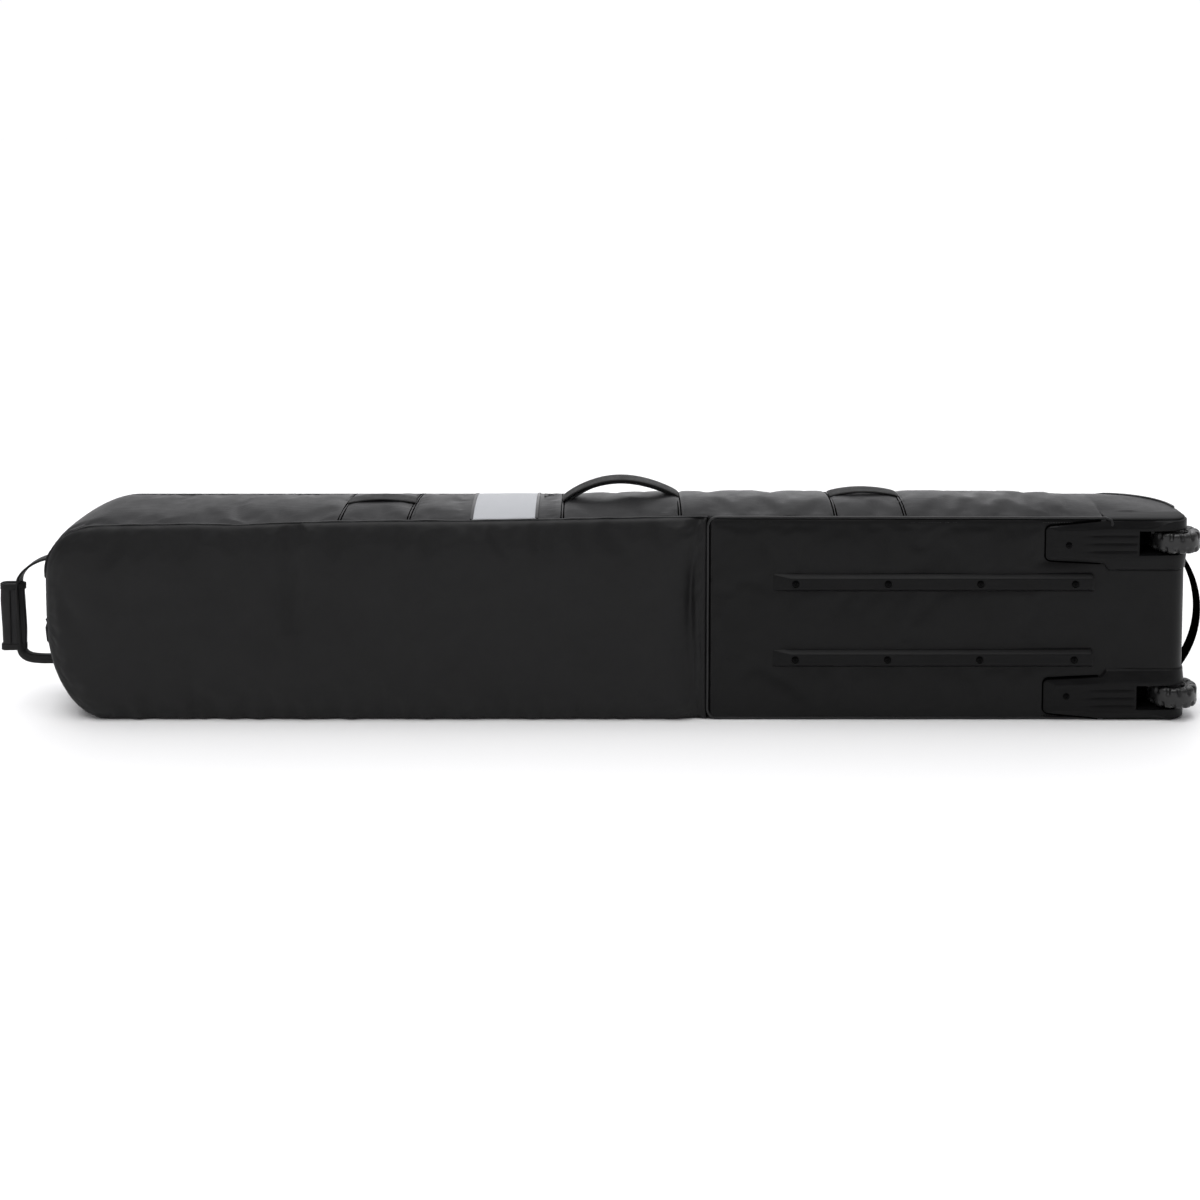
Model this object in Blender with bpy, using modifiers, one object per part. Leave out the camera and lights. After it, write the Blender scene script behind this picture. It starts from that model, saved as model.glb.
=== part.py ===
"""Wheeled snowboard bag, standing on its long lower side.

Metres. +X runs from the nose to the wheeled tail, +Y from the base (wheels and skid rails)
to the lid, +Z up. The origin is on the resting side, at mid length and mid depth.
"""
import math

import bmesh
import bpy
from mathutils import Matrix, Vector

# ---- driving dimensions -------------------------------------------------------------------
LENGTH = 1.65            # body, nose end to tail end
HEIGHT = 0.295           # body, resting side to upper side
DEPTH = 0.150            # body, base to lid
WALL = 0.004             # padded cloth wall
GAP = 0.0003             # between touching pieces

NOSE = -LENGTH / 2
TAIL = LENGTH / 2
MID = HEIGHT / 2
BASE = -DEPTH / 2        # outer face of the base
FRONT = DEPTH / 2        # outer face of the lid
INSIDE = BASE + WALL + GAP

NOSE_RADIUS = 0.100      # corners of the nose, seen from the base
LID_TAIL_RADIUS = 0.080  # rounding from the lid into the tail
HEEL_RADIUS = 0.025      # rounding from the base into the tail
HEEL_START = TAIL - HEEL_RADIUS
LID_TAIL = TAIL - LID_TAIL_RADIUS
CROSS_SEAM = 0.131       # where the nose and tail halves of the base meet
UPPER_SEAMS = (-0.397, -0.297, 0.091)    # between the upper side's four lengths
WINDOW = (-0.210, -0.116)                # the grey patch in the upper side
BOARD_LOW, BOARD_HIGH = (-0.70, 0.02), (0.69, 0.275)
BOARD_THICKNESS = 0.002
BEYOND = 0.2             # how far a cutter reaches past what it cuts

# wheels and their corner housings
WHEEL_RADIUS = 0.036
WHEEL_WIDTH = 0.030
WHEEL_X = 0.811
WHEEL_Y = -0.053
WHEEL_OFFSET = 0.1135    # from mid height, up and down
HUB_RADIUS = 0.022
BEARING_RADIUS = 0.008
AXLE_RADIUS = 0.004
AXLE_LENGTH = 0.044
SLOT_HALF = 0.0178
SLOT_START = 0.751
HOUSING_START = 0.706
HOUSING_TONGUE = 0.618
HOUSING_INNER = 0.070    # housing's inner edge, from mid height
HOUSING_RISE = -0.030    # top of the part of the housing that shows outside
HOUSING_TOP = -0.013     # top of the wheel well inside the bag
HOUSING_WALL = 0.0025
HOUSING_PLATE = 0.0042   # thickness of the face plate that laps over the base
HOUSING_PROUD = 0.002    # how far the shell stands out of the tail
HOUSING_OUTER = 0.1435   # housing's outer edge, from mid height
TONGUE_ROUNDING = 0.012
ROOM_MARGIN = 0.0075     # the housing's hollows, from the bag's sides
WELL_CLEARANCE = 0.0007

# skid rails
RAIL_START = 0.225
RAIL_END = 0.687
RAIL_OFFSET = 0.0555     # from mid height, up and down
RAIL_WIDTH = 0.026
RAIL_HEIGHT = 0.011
RAIL_RAMP = 0.026
RAIL_CHAMFER = 0.003
RAIL_TOE = 0.002         # the thin front end of the ramp
RAIL_SCREWS = (0.257, 0.390, 0.523, 0.659)
HOUSING_SCREW = (0.650, 0.111)   # along the bag, and from mid height
SCREW_HEAD = 0.004
SCREW_SHANK = 0.002

# lid, zip and pocket
BORDER_WIDTH = 0.025
COIL_WIDTH = 0.005
LID_CLEARANCE = 0.0052
BORDER_EDGE = WALL + GAP
BORDER_INNER = BORDER_EDGE + BORDER_WIDTH - GAP
COIL_OUTER = BORDER_INNER + GAP
COIL_INNER = COIL_OUTER + COIL_WIDTH
LID_EDGE = COIL_INNER + LID_CLEARANCE
LID_THICKNESS = 0.005
HINGE_Z = HEIGHT - BORDER_EDGE
ZIP_END = -0.700
SLIDER = (0.018, 0.0040, 0.009)
PULL = (0.0315, 0.0015, 0.007)
POCKET = ((-0.42, 0.075), (0.28, 0.2298))
POCKET_THICKNESS = 0.0025

# webbing
WEBBING = 0.003
PATCH = 0.0015           # the sewn strips under the haul loops
HANDLE_WIDTH = 0.038
NOSE_HANDLE = (-0.392, -0.302, 0.010)    # start, end, rise
CARRY_HANDLE = (-0.074, 0.086, 0.039)
TAIL_HANDLE = (0.321, 0.411, 0.021)
STRAP_X = 0.35
STRAP_WIDTH = 0.025
STRAP_Y = 0.050
BUCKLE = (0.032, 0.0085, 0.0297)
BUCKLE_START = 0.1203
TONGUE_HEIGHT = 0.0247

COLLECTION = "snowboard_bag"

# ---- scene and materials ------------------------------------------------------------------
for leftover in list(bpy.data.objects):
    bpy.data.objects.remove(leftover, do_unlink=True)

parts = bpy.data.collections.new(COLLECTION)
cutters = bpy.data.collections.new("cutters")
bpy.context.scene.collection.children.link(parts)
bpy.context.scene.collection.children.link(cutters)


def material(name, colour, roughness, metallic=0.0):
    """One Principled material, made once for each name."""
    found = bpy.data.materials.get(name)
    if found:
        return found
    made = bpy.data.materials.new(name)
    made.use_nodes = True
    shader = made.node_tree.nodes["Principled BSDF"]
    shader.inputs["Base Color"].default_value = (*colour, 1.0)
    shader.inputs["Roughness"].default_value = roughness
    shader.inputs["Metallic"].default_value = metallic
    return made


COATED = material("coated_cloth", (0.016, 0.016, 0.017), 0.42)
TARPAULIN = material("tarpaulin", (0.013, 0.013, 0.014), 0.38)
WEAVE = material("webbing", (0.011, 0.011, 0.012), 0.7)
GREY = material("grey_window", (0.42, 0.43, 0.45), 0.6)
BOARD = material("stiffener", (0.03, 0.03, 0.032), 0.55)
COIL = material("zip_coil", (0.02, 0.02, 0.021), 0.45)
ZINC = material("zip_metal", (0.06, 0.06, 0.065), 0.35, 1.0)
NYLON = material("moulded_plastic", (0.017, 0.017, 0.018), 0.4)
BUCKLE_NYLON = material("buckle_plastic", (0.015, 0.015, 0.016), 0.35)
RUBBER = material("tyre_rubber", (0.02, 0.02, 0.02), 0.35)
HUB_NYLON = material("hub_plastic", (0.03, 0.03, 0.032), 0.4)
STEEL = material("steel", (0.35, 0.35, 0.36), 0.3, 1.0)
BLACK_STEEL = material("black_screw", (0.02, 0.02, 0.02), 0.3, 1.0)


# ---- modelling helpers --------------------------------------------------------------------
def add(name, data, finish=None, location=(0, 0, 0), rotation=(0, 0, 0), group=parts):
    """Put a mesh or curve in the scene as a named object."""
    made = bpy.data.objects.new(name, data)
    made.location = location
    made.rotation_euler = rotation
    if finish:
        data.materials.append(finish)
    group.objects.link(made)
    bpy.context.view_layer.update()
    if group is cutters:
        made.hide_render = True
        made.display_type = "WIRE"
    return made


def pivot(name, location):
    """An empty on a joint's axis, which the moving pieces hang from."""
    empty = bpy.data.objects.new(name, None)
    empty.location = location
    parts.objects.link(empty)
    bpy.context.view_layer.update()
    return empty


def hang(parent, *pieces):
    """Parent pieces without moving them."""
    for piece in pieces:
        piece.parent = parent
        piece.matrix_parent_inverse = parent.matrix_world.inverted()


def block(name, low, high, finish=None, bevel=0.0, group=parts):
    """A box between two corners, with its edges rounded if a bevel is given."""
    low, high = Vector(low), Vector(high)
    shape = bmesh.new()
    bmesh.ops.create_cube(shape, size=1.0, matrix=Matrix.Diagonal((*(high - low), 1.0)))
    mesh = bpy.data.meshes.new(name)
    shape.to_mesh(mesh)
    shape.free()
    made = add(name, mesh, finish, (low + high) / 2, group=group)
    if bevel:
        rounding = made.modifiers.new("rounding", "BEVEL")
        rounding.width = bevel
        rounding.segments = 2
    return made


def plate(name, outline, across, low, high, finish=None, group=parts):
    """A flat outline with thickness. across is the axis that the thickness lies along:
    "Y" takes (x, z) points and "Z" takes (x, y) points."""
    curve = bpy.data.curves.new(name, "CURVE")
    curve.dimensions = "2D"
    curve.fill_mode = "BOTH"
    curve.extrude = (high - low) / 2
    spline = curve.splines.new("POLY")
    spline.points.add(len(outline) - 1)
    for point, (first, second) in zip(spline.points, outline):
        point.co = (first, second, 0.0, 1.0)
    spline.use_cyclic_u = True
    middle = (low + high) / 2
    turned_up = across == "Y"
    place = (0, middle, 0) if turned_up else (0, 0, middle)
    turn = (math.pi / 2, 0, 0) if turned_up else (0, 0, 0)
    drawn = add(name + "_outline", curve, None, place, turn, group)
    made = solid_from(drawn, name, finish, group)
    return made


def solid_from(drawn, name, finish, group=parts):
    """The closed mesh of a curve object, in the curve's place."""
    evaluated = drawn.evaluated_get(bpy.context.evaluated_depsgraph_get())
    mesh = bpy.data.meshes.new_from_object(evaluated)
    shape = bmesh.new()
    shape.from_mesh(mesh)
    bmesh.ops.remove_doubles(shape, verts=shape.verts, dist=1e-6)
    bmesh.ops.recalc_face_normals(shape, faces=shape.faces)
    shape.to_mesh(mesh)
    shape.free()
    mesh.materials.clear()
    made = add(name, mesh, finish, group=group)
    made.matrix_world = drawn.matrix_world.copy()
    bpy.data.objects.remove(drawn, do_unlink=True)
    return made


def band(name, path, half_widths, thickness, finish, middle=0.0):
    """A strip across the bag's depth that follows a path of (x, z) points through the
    middle of its thickness. half_widths is one number, or one for each point."""
    if not isinstance(half_widths, (list, tuple)):
        half_widths = [half_widths] * len(path)
    shape = bmesh.new()
    rows = []
    for (x, z), half in zip(path, half_widths):
        near = shape.verts.new((x, middle - half, z))
        far = shape.verts.new((x, middle + half, z))
        rows.append((near, far))
    for (near, far), (next_near, next_far) in zip(rows, rows[1:]):
        shape.faces.new((near, far, next_far, next_near))
    mesh = bpy.data.meshes.new(name)
    shape.to_mesh(mesh)
    shape.free()
    made = add(name, mesh, finish)
    thicken = made.modifiers.new("thickness", "SOLIDIFY")
    thicken.thickness = thickness
    thicken.offset = 0.0
    thicken.use_even_offset = True
    return made


def tube(name, path, radius, finish):
    """A round strand along a path of (x, z) points at mid depth, with filled ends."""
    curve = bpy.data.curves.new(name, "CURVE")
    curve.dimensions = "3D"
    curve.bevel_depth = radius
    curve.bevel_resolution = 2
    curve.use_fill_caps = True
    spline = curve.splines.new("POLY")
    spline.points.add(len(path) - 1)
    for point, (x, z) in zip(spline.points, path):
        point.co = (x, 0.0, z, 1.0)
    return add(name, curve, finish)


def turned(name, profile, finish, location, rotation, closed=False, steps=28, group=parts):
    """A turned solid from (radius, height) points that run top to bottom outside."""
    mesh = bpy.data.meshes.new(name)
    count = len(profile)
    edges = [(index, index + 1) for index in range(count - 1)]
    if closed:
        edges.append((count - 1, 0))
    mesh.from_pydata([(radius, 0.0, height) for radius, height in profile], edges, [])
    made = add(name, mesh, finish, location, rotation, group)
    lathe = made.modifiers.new("turn", "SCREW")
    lathe.steps = steps
    lathe.render_steps = steps
    lathe.use_merge_vertices = True
    lathe.merge_threshold = 0.00002
    lathe.use_smooth_shade = True
    return made


def boolean(target, tool, operation):
    step = target.modifiers.new(tool.name, "BOOLEAN")
    step.operation = operation
    step.object = tool
    step.solver = "EXACT"


def arc(centre, radius, start, end, steps):
    """Points on a circle from one angle in degrees to another, ends included."""
    points = []
    for index in range(steps + 1):
        angle = math.radians(start + (end - start) * index / steps)
        points.append((centre[0] + radius * math.cos(angle), centre[1] + radius * math.sin(angle)))
    return points


def smooth(points, steps):
    """A Catmull-Rom curve through points, steps to each stretch."""
    ends = [points[0], *points, points[-1]]
    curve = [points[0]]
    for index in range(1, len(ends) - 2):
        before, start, end, after = ends[index - 1:index + 3]
        for step in range(1, steps + 1):
            t = step / steps
            curve.append(tuple(
                0.5 * (2 * b + (c - a) * t + (2 * a - 5 * b + 4 * c - d) * t ** 2
                       + (3 * b - a - 3 * c + d) * t ** 3)
                for a, b, c, d in zip(before, start, end, after)))
    return curve


def nose_path(inset, start, end, steps=8):
    """The nose end's outline in (x, z), inset by a distance, from the lower side's x=start
    round the two corners to the upper side's x=end."""
    radius = NOSE_RADIUS - inset
    centre_x = NOSE + NOSE_RADIUS
    lower = arc((centre_x, NOSE_RADIUS), radius, 270, 180, steps)
    upper = arc((centre_x, HEIGHT - NOSE_RADIUS), radius, 180, 90, steps)
    return [(start, inset)] + lower + upper + [(end, HEIGHT - inset)]


# ---- base and side walls ------------------------------------------------------------------
def base_panels():
    outline = nose_path(0.0, CROSS_SEAM - GAP, CROSS_SEAM - GAP)
    plate("base_panel_nose", outline, "Y", BASE, BASE + WALL, COATED)

    notch = HOUSING_START - GAP
    low = MID - HOUSING_INNER + GAP
    high = MID + HOUSING_INNER - GAP
    heel = HEEL_START - GAP
    outline = [(CROSS_SEAM, 0.0), (notch, 0.0), (notch, low), (heel, low), (heel, high),
               (notch, high), (notch, HEIGHT), (CROSS_SEAM, HEIGHT)]
    plate("base_panel_tail", outline, "Y", BASE, BASE + WALL, TARPAULIN)
    (left, bottom), (right, top) = BOARD_LOW, BOARD_HIGH
    block("base_board", (left, INSIDE, bottom), (right, INSIDE + BOARD_THICKNESS, top), BOARD)


def gussets():
    """The two long side walls. The upper one is sewn from four lengths."""
    start = NOSE + NOSE_RADIUS
    housing = HOUSING_START - GAP
    rise = HOUSING_RISE + GAP
    lid_curve = arc((LID_TAIL, FRONT - LID_TAIL_RADIUS), LID_TAIL_RADIUS, 0, 90, 8)
    tail_end = [(housing, INSIDE), (housing, rise), (TAIL, rise)] + lid_curve

    outline = [(start, INSIDE)] + tail_end + [(start, FRONT)]
    plate("gusset_lower", outline, "Z", 0.0, WALL, COATED)

    seams = (start, *UPPER_SEAMS)
    low, high = HEIGHT - WALL, HEIGHT
    for index, name in enumerate(("nose", "grip", "middle")):
        first, last = seams[index], seams[index + 1] - GAP
        block("gusset_upper_" + name, (first, INSIDE, low), (last, FRONT, high), COATED)
    outline = [(seams[-1], INSIDE)] + tail_end + [(seams[-1], FRONT)]
    plate("gusset_upper_tail", outline, "Z", low, high, COATED)

    path = nose_path(WALL / 2, start - GAP, start - GAP)
    centre = (INSIDE + FRONT) / 2
    path = [point for index, point in enumerate(path) if index not in (1, len(path) - 2)]
    band("gusset_nose", path, (FRONT - INSIDE) / 2, WALL, COATED, centre)


def tail_wall():
    """The tail's end wall, from the heel's rounding up and over to the lid."""
    heel = arc((HEEL_START, BASE + HEEL_RADIUS), HEEL_RADIUS, -90, 0, 4)
    shoulder = arc((LID_TAIL, FRONT - LID_TAIL_RADIUS), LID_TAIL_RADIUS, 0, 90, 8)
    inner_shoulder = arc((LID_TAIL, FRONT - LID_TAIL_RADIUS), LID_TAIL_RADIUS - WALL, 90, 0, 8)
    inner_heel = arc((HEEL_START, BASE + HEEL_RADIUS), HEEL_RADIUS - WALL, 0, -90, 4)
    outline = heel + shoulder + inner_shoulder + inner_heel
    wall = plate("tail_wall", outline, "Z", BORDER_EDGE, HEIGHT - BORDER_EDGE, COATED)
    for side, word in ((-1, "lower"), (1, "upper")):
        edges = sorted((MID + side * (HOUSING_INNER - GAP), MID + side * DEPTH))
        notch = block(f"tail_notch_{word}", (HOUSING_START, -BEYOND, edges[0]),
                      (TAIL + BEYOND, HOUSING_RISE + GAP, edges[1]), group=cutters)
        boolean(wall, notch, "DIFFERENCE")
        centre = MID + side * WHEEL_OFFSET
        slot_top = HOUSING_TOP - HOUSING_WALL
        slot = block(f"tail_slot_{word}", (HEEL_START, -BEYOND, centre - SLOT_HALF),
                     (TAIL + BEYOND, slot_top, centre + SLOT_HALF), group=cutters)
        boolean(wall, slot, "DIFFERENCE")


def window_patch():
    """The grey cloth patch let into the upper side, over its whole depth."""
    low = HEIGHT + GAP
    thickness, near_seam, far_seam = 0.001, 0.006, 0.002
    start, end = WINDOW
    block("id_window", (start, BASE + near_seam, low), (end, FRONT - far_seam, low + thickness),
          GREY)


# ---- lid, zip and pocket ------------------------------------------------------------------
def zip_outline(outer, inner):
    """A strip round the lid between two insets: nose, lower side and tail."""
    outside = nose_path(outer, LID_TAIL - outer, ZIP_END - GAP)
    inside = nose_path(inner, LID_TAIL - inner, ZIP_END - GAP)
    tail_outside = [(LID_TAIL - outer, HINGE_Z)]
    tail_inside = [(LID_TAIL - inner, HINGE_Z)]
    return tail_outside + outside + list(reversed(inside)) + tail_inside


def zip_and_lid():
    border = zip_outline(BORDER_EDGE, BORDER_INNER)
    border[0] = (LID_TAIL - GAP, HINGE_Z)
    border[1] = (LID_TAIL - GAP, BORDER_EDGE)
    plate("zipper_border", border, "Y", FRONT - WALL, FRONT, COATED)
    coil = zip_outline(COIL_OUTER, COIL_INNER)
    plate("zipper_coil", coil, "Y", FRONT - 0.0035, FRONT - 0.0005, COIL)

    hinge = pivot("lid_hinge_axis", (0, FRONT, HINGE_Z))
    round_nose = nose_path(LID_EDGE, LID_TAIL - LID_EDGE, ZIP_END)
    outline = round_nose + [(ZIP_END, HINGE_Z), (LID_TAIL - LID_EDGE, HINGE_Z)]
    lid = plate("lid_panel", outline, "Y", FRONT - LID_THICKNESS, FRONT, COATED)
    (left, low), (right, high) = POCKET
    outer = FRONT + GAP
    pocket = block("lid_pocket", (left, outer, low), (right, outer + POCKET_THICKNESS, high), COATED)
    coil_low = high + GAP
    pocket_coil = block("pocket_zipper_coil", (left, outer, coil_low),
                        (right, outer + POCKET_THICKNESS, coil_low + COIL_WIDTH), COIL)
    hang(hinge, lid, pocket, pocket_coil)

    coil_middle = (COIL_OUTER + COIL_INNER) / 2
    meeting = SLIDER[0] / 2 + 0.002
    slider_and_pull("nose", -meeting, FRONT, coil_middle, -1)
    slider_and_pull("tail", meeting, FRONT, coil_middle, 1)
    runner = slider_and_pull("pocket", right - 0.020, outer + POCKET_THICKNESS,
                             coil_low + COIL_WIDTH / 2, -1)
    hang(hinge, runner)


def slider_and_pull(word, x, surface, z, direction):
    """A zip slider on a coil's surface, and the pull that turns on it."""
    length, height, width = SLIDER
    low = surface + GAP
    bail = 0.0012        # the pull's pin stands this far off the slider
    axis_y = low + height + bail
    runner = pivot(f"{word}_slider_axis", (x, low, z))
    body = block(f"zipper_slider_{word}", (x - length / 2, low, z - width / 2),
                 (x + length / 2, low + height, z + width / 2), ZINC, bevel=0.0008)
    tilt = pivot(f"{word}_pull_axis", (x, axis_y, z))
    pull_length, thickness, pull_width = PULL
    play = 0.0005
    ends = sorted((x + direction * play, x + direction * (play + pull_length)))
    tab = block(f"zipper_pull_{word}", (ends[0], axis_y - thickness / 2, z - pull_width / 2),
                (ends[1], axis_y + thickness / 2, z + pull_width / 2), ZINC)
    hang(tilt, tab)
    hang(runner, body, tilt)
    return runner


# ---- webbing handles and haul loops -------------------------------------------------------
def arch(start, end, rise, points=17):
    """A handle's arch in (x, z), from the upper side's cloth up and down again."""
    low = HEIGHT + GAP + WEBBING / 2
    path = []
    for index in range(points):
        share = index / (points - 1)
        lift = rise * math.sin(math.pi * share) ** 0.75
        path.append((start + (end - start) * share, low + lift))
    return path


def handles():
    band("nose_lift_handle", arch(*NOSE_HANDLE), HANDLE_WIDTH / 2, WEBBING, WEAVE)
    band("tail_lift_handle", arch(*TAIL_HANDLE), HANDLE_WIDTH / 2, WEBBING, WEAVE)
    path = arch(*CARRY_HANDLE, points=21)
    root_half = 0.002
    spread = 1.2         # gathered at its roots, so that it can lean over either way
    widths = [min(HANDLE_WIDTH / 2, root_half + spread * (z - HEIGHT - WEBBING)) for _, z in path]
    grip = band("carry_handle", path, widths, WEBBING, WEAVE)
    hang(pivot("carry_handle_axis", (0, 0, HEIGHT)), grip)


def nose_haul():
    """The nose's haul loop with its wrapped grip, on a sewn strip across the nose."""
    offset = GAP + PATCH / 2
    centre_x = NOSE + NOSE_RADIUS
    half_width = 0.018
    lower = arc((centre_x, NOSE_RADIUS), NOSE_RADIUS + offset, 207, 180, 4)
    upper = arc((centre_x, HEIGHT - NOSE_RADIUS), NOSE_RADIUS + offset, 180, 153, 4)
    band("nose_haul_patch", lower + upper, half_width, PATCH, WEAVE)

    radius = 0.005
    axis_x = -0.833
    strand_x = -0.889
    above = smooth([(axis_x, 0.2226), (-0.855, 0.2180), (-0.875, 0.2095),
                    (-0.8865, 0.2000), (strand_x, 0.190)], 4)
    below = smooth([(strand_x, 0.084), (-0.8865, 0.0785), (-0.8790, 0.0757),
                    (-0.860, 0.0750), (axis_x, 0.0750)], 4)
    loop = tube("nose_haul_loop", above + below, radius, WEAVE)
    grip = block("nose_haul_grip", (-0.916, -0.009, 0.087), (-0.880, 0.009, 0.187), WEAVE, 0.004)
    bore = turned("grip_bore", [(0, 0.06), (radius + 0.0006, 0.06), (radius + 0.0006, -0.06),
                                (0, -0.06)], None, (strand_x, 0, 0.137), (0, 0, 0), group=cutters)
    boolean(grip, bore, "DIFFERENCE")
    hang(pivot("nose_haul_axis", (axis_x, 0, MID)), loop, grip)


def tail_haul():
    patch_low, half_width, foot, head = TAIL + GAP, 0.016, 0.035, 0.246
    block("tail_haul_patch", (patch_low, -half_width, foot), (patch_low + PATCH, half_width, head),
          WEAVE)
    radius = 0.0035
    axis_x = patch_low + PATCH + GAP + radius
    top, bottom, reach = 0.2315, 0.0496, 0.033
    half = (top - bottom) / 2
    bow = (half ** 2 + reach ** 2) / (2 * reach)
    spread = math.degrees(math.asin(half / bow))
    centre = (axis_x + reach - bow, (top + bottom) / 2)
    loop = tube("tail_haul_loop", arc(centre, bow, -spread, spread, 24), radius, WEAVE)
    hang(pivot("tail_haul_axis", (axis_x, 0, MID)), loop)


# ---- wheels and housings ------------------------------------------------------------------
def housing_outline(side):
    """The housing's face plate in (x, z): a narrow tongue that steps out to the corner."""
    tongue_low, tongue_high, heel, step = 0.083, 0.136, 0.795, 0.004
    lap = HOUSING_INNER + 0.003
    rounded = HOUSING_TONGUE + TONGUE_ROUNDING
    offsets = [(rounded, tongue_low), (HOUSING_TONGUE, tongue_low + TONGUE_ROUNDING),
               (HOUSING_TONGUE, tongue_high - TONGUE_ROUNDING), (rounded, tongue_high),
               (HOUSING_START, HOUSING_OUTER - 0.002), (heel, HOUSING_OUTER), (heel, lap),
               (HOUSING_START + step, lap), (HOUSING_START - step, lap + 0.006)]
    return [(x, MID + side * offset) for x, offset in offsets]


def span(side, first, last):
    """The low and high z of a stretch given by its distances from mid height."""
    return sorted((MID + side * first, MID + side * last))


def wheel_corner(side, word):
    plate_low = BASE - GAP - HOUSING_PLATE
    housing = plate(f"wheel_housing_{word}", housing_outline(side), "Y", plate_low,
                    BASE - GAP, NYLON)

    # the outer shell of the corner, with the heel's rounding, and the well inside the bag
    low_y = BASE - 0.003
    heel = arc((HEEL_START + HOUSING_PROUD, low_y + HEEL_RADIUS), HEEL_RADIUS, -90, 0, 5)
    profile = [(HOUSING_START, low_y)] + heel + [(TAIL + HOUSING_PROUD, HOUSING_RISE),
                                                 (HOUSING_START, HOUSING_RISE)]
    low_z, high_z = span(side, HOUSING_INNER, MID)
    corner = plate(f"corner_{word}", profile, "Z", low_z, high_z, group=cutters)
    boolean(housing, corner, "UNION")
    inside = WALL + WELL_CLEARANCE
    low_z, high_z = span(side, HOUSING_INNER + 0.0005, MID - inside)
    well = block(f"well_{word}", (HOUSING_START + 0.0005, HOUSING_RISE - 0.001, low_z),
                 (TAIL - inside, HOUSING_TOP, high_z), group=cutters)
    boolean(housing, well, "UNION")

    # hollow cheeks on both sides of the wheel, open towards the inside of the bag
    inner_wall = WHEEL_OFFSET - SLOT_HALF - HOUSING_WALL
    outer_wall = WHEEL_OFFSET + SLOT_HALF + HOUSING_WALL
    cheek_start, cheek_end = SLOT_START - 0.004, TAIL - 0.008
    first_wall = HOUSING_INNER + HOUSING_WALL
    last_wall = MID - ROOM_MARGIN
    floor = BASE + 0.0005
    cheek_floor = floor + 0.012      # clear of the heel's rounding
    rooms = (("front", HOUSING_START + HOUSING_WALL, SLOT_START - HOUSING_WALL, floor,
              first_wall, last_wall),
             ("inner", cheek_start, cheek_end, cheek_floor, first_wall, inner_wall),
             ("outer", cheek_start, cheek_end, cheek_floor, outer_wall, last_wall))
    for room, start, end, floor_y, first, last in rooms:
        low_z, high_z = span(side, first, last)
        hollow = block(f"hollow_{room}_{word}", (start, floor_y, low_z),
                       (end, 0.0, high_z), group=cutters)
        boolean(housing, hollow, "DIFFERENCE")

    centre = MID + side * WHEEL_OFFSET
    slot = block(f"slot_{word}", (SLOT_START, -BEYOND, centre - SLOT_HALF),
                 (TAIL + BEYOND, HOUSING_TOP - HOUSING_WALL, centre + SLOT_HALF), group=cutters)
    boolean(housing, slot, "DIFFERENCE")
    bore_radius = AXLE_RADIUS + 0.0003
    bore = turned(f"axle_bore_{word}", [(0, 0.03), (bore_radius, 0.03), (bore_radius, -0.03),
                                        (0, -0.03)], None, (WHEEL_X, WHEEL_Y, centre),
                  (0, 0, 0), group=cutters)
    boolean(housing, bore, "DIFFERENCE")
    screw_x, screw_offset = HOUSING_SCREW
    screw(f"housing_screw_{word}", housing, screw_x, MID + side * screw_offset, plate_low)
    wheel(centre, word)


def ring(name, inner, outer, width, finish, centre, rounding):
    """A turned ring with rounded outer shoulders, on the axle."""
    half = width / 2
    profile = [(inner, half), (outer - rounding, half)]
    profile += [(outer - rounding + rounding * math.sin(angle), half - rounding * (1 - math.cos(angle)))
                for angle in (math.pi / 6, math.pi / 3, math.pi / 2)]
    profile += [(radius, -height) for radius, height in reversed(profile)]
    return turned(name, profile, finish, (WHEEL_X, WHEEL_Y, centre), (0, 0, 0), closed=True)


def wheel(centre, word):
    running = 0.0003
    half = AXLE_LENGTH / 2
    turned(f"axle_{word}", [(0, half), (AXLE_RADIUS, half), (AXLE_RADIUS, -half), (0, -half)],
           STEEL, (WHEEL_X, WHEEL_Y, centre), (0, 0, 0))
    bearing = ring(f"wheel_bearing_{word}", AXLE_RADIUS + running, BEARING_RADIUS,
                   WHEEL_WIDTH - 0.004, STEEL, centre, 0.0004)
    hub = ring(f"wheel_hub_{word}", BEARING_RADIUS + GAP, HUB_RADIUS, WHEEL_WIDTH - 0.005,
               HUB_NYLON, centre, 0.001)
    tyre = ring(f"wheel_tyre_{word}", HUB_RADIUS + GAP, WHEEL_RADIUS, WHEEL_WIDTH, RUBBER,
                centre, 0.005)
    hang(pivot(f"wheel_axis_{word}", (WHEEL_X, WHEEL_Y, centre)), bearing, hub, tyre)


# ---- skid rails and screws ----------------------------------------------------------------
def screw(name, target, x, z, surface):
    """A pan head screw sunk in a plate or rail whose outer face is at y=surface, and the
    stepped hole that it goes into."""
    head_height, sink = 0.0022, 0.0027
    length = 0.0100 if target.name.startswith("skid") else 0.0036
    away = (math.pi / 2, 0, 0)
    head_y = surface + sink - head_height
    profile = [(0, 0), (SCREW_HEAD * 0.75, 0), (SCREW_HEAD, -0.0010), (SCREW_HEAD, -head_height),
               (SCREW_SHANK, -head_height), (SCREW_SHANK, -length), (0, -length)]
    turned(name, profile, BLACK_STEEL, (x, head_y, z), away, steps=16)
    head_hole, shank_hole = SCREW_HEAD + GAP, SCREW_SHANK + GAP
    seat = head_height + GAP
    hole = turned(name + "_hole", [(0, 0.01), (head_hole, 0.01), (head_hole, -seat),
                                   (shank_hole, -seat), (shank_hole, -0.02), (0, -0.02)],
                  None, (x, head_y, z), away, steps=16, group=cutters)
    boolean(target, hole, "DIFFERENCE")


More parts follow.
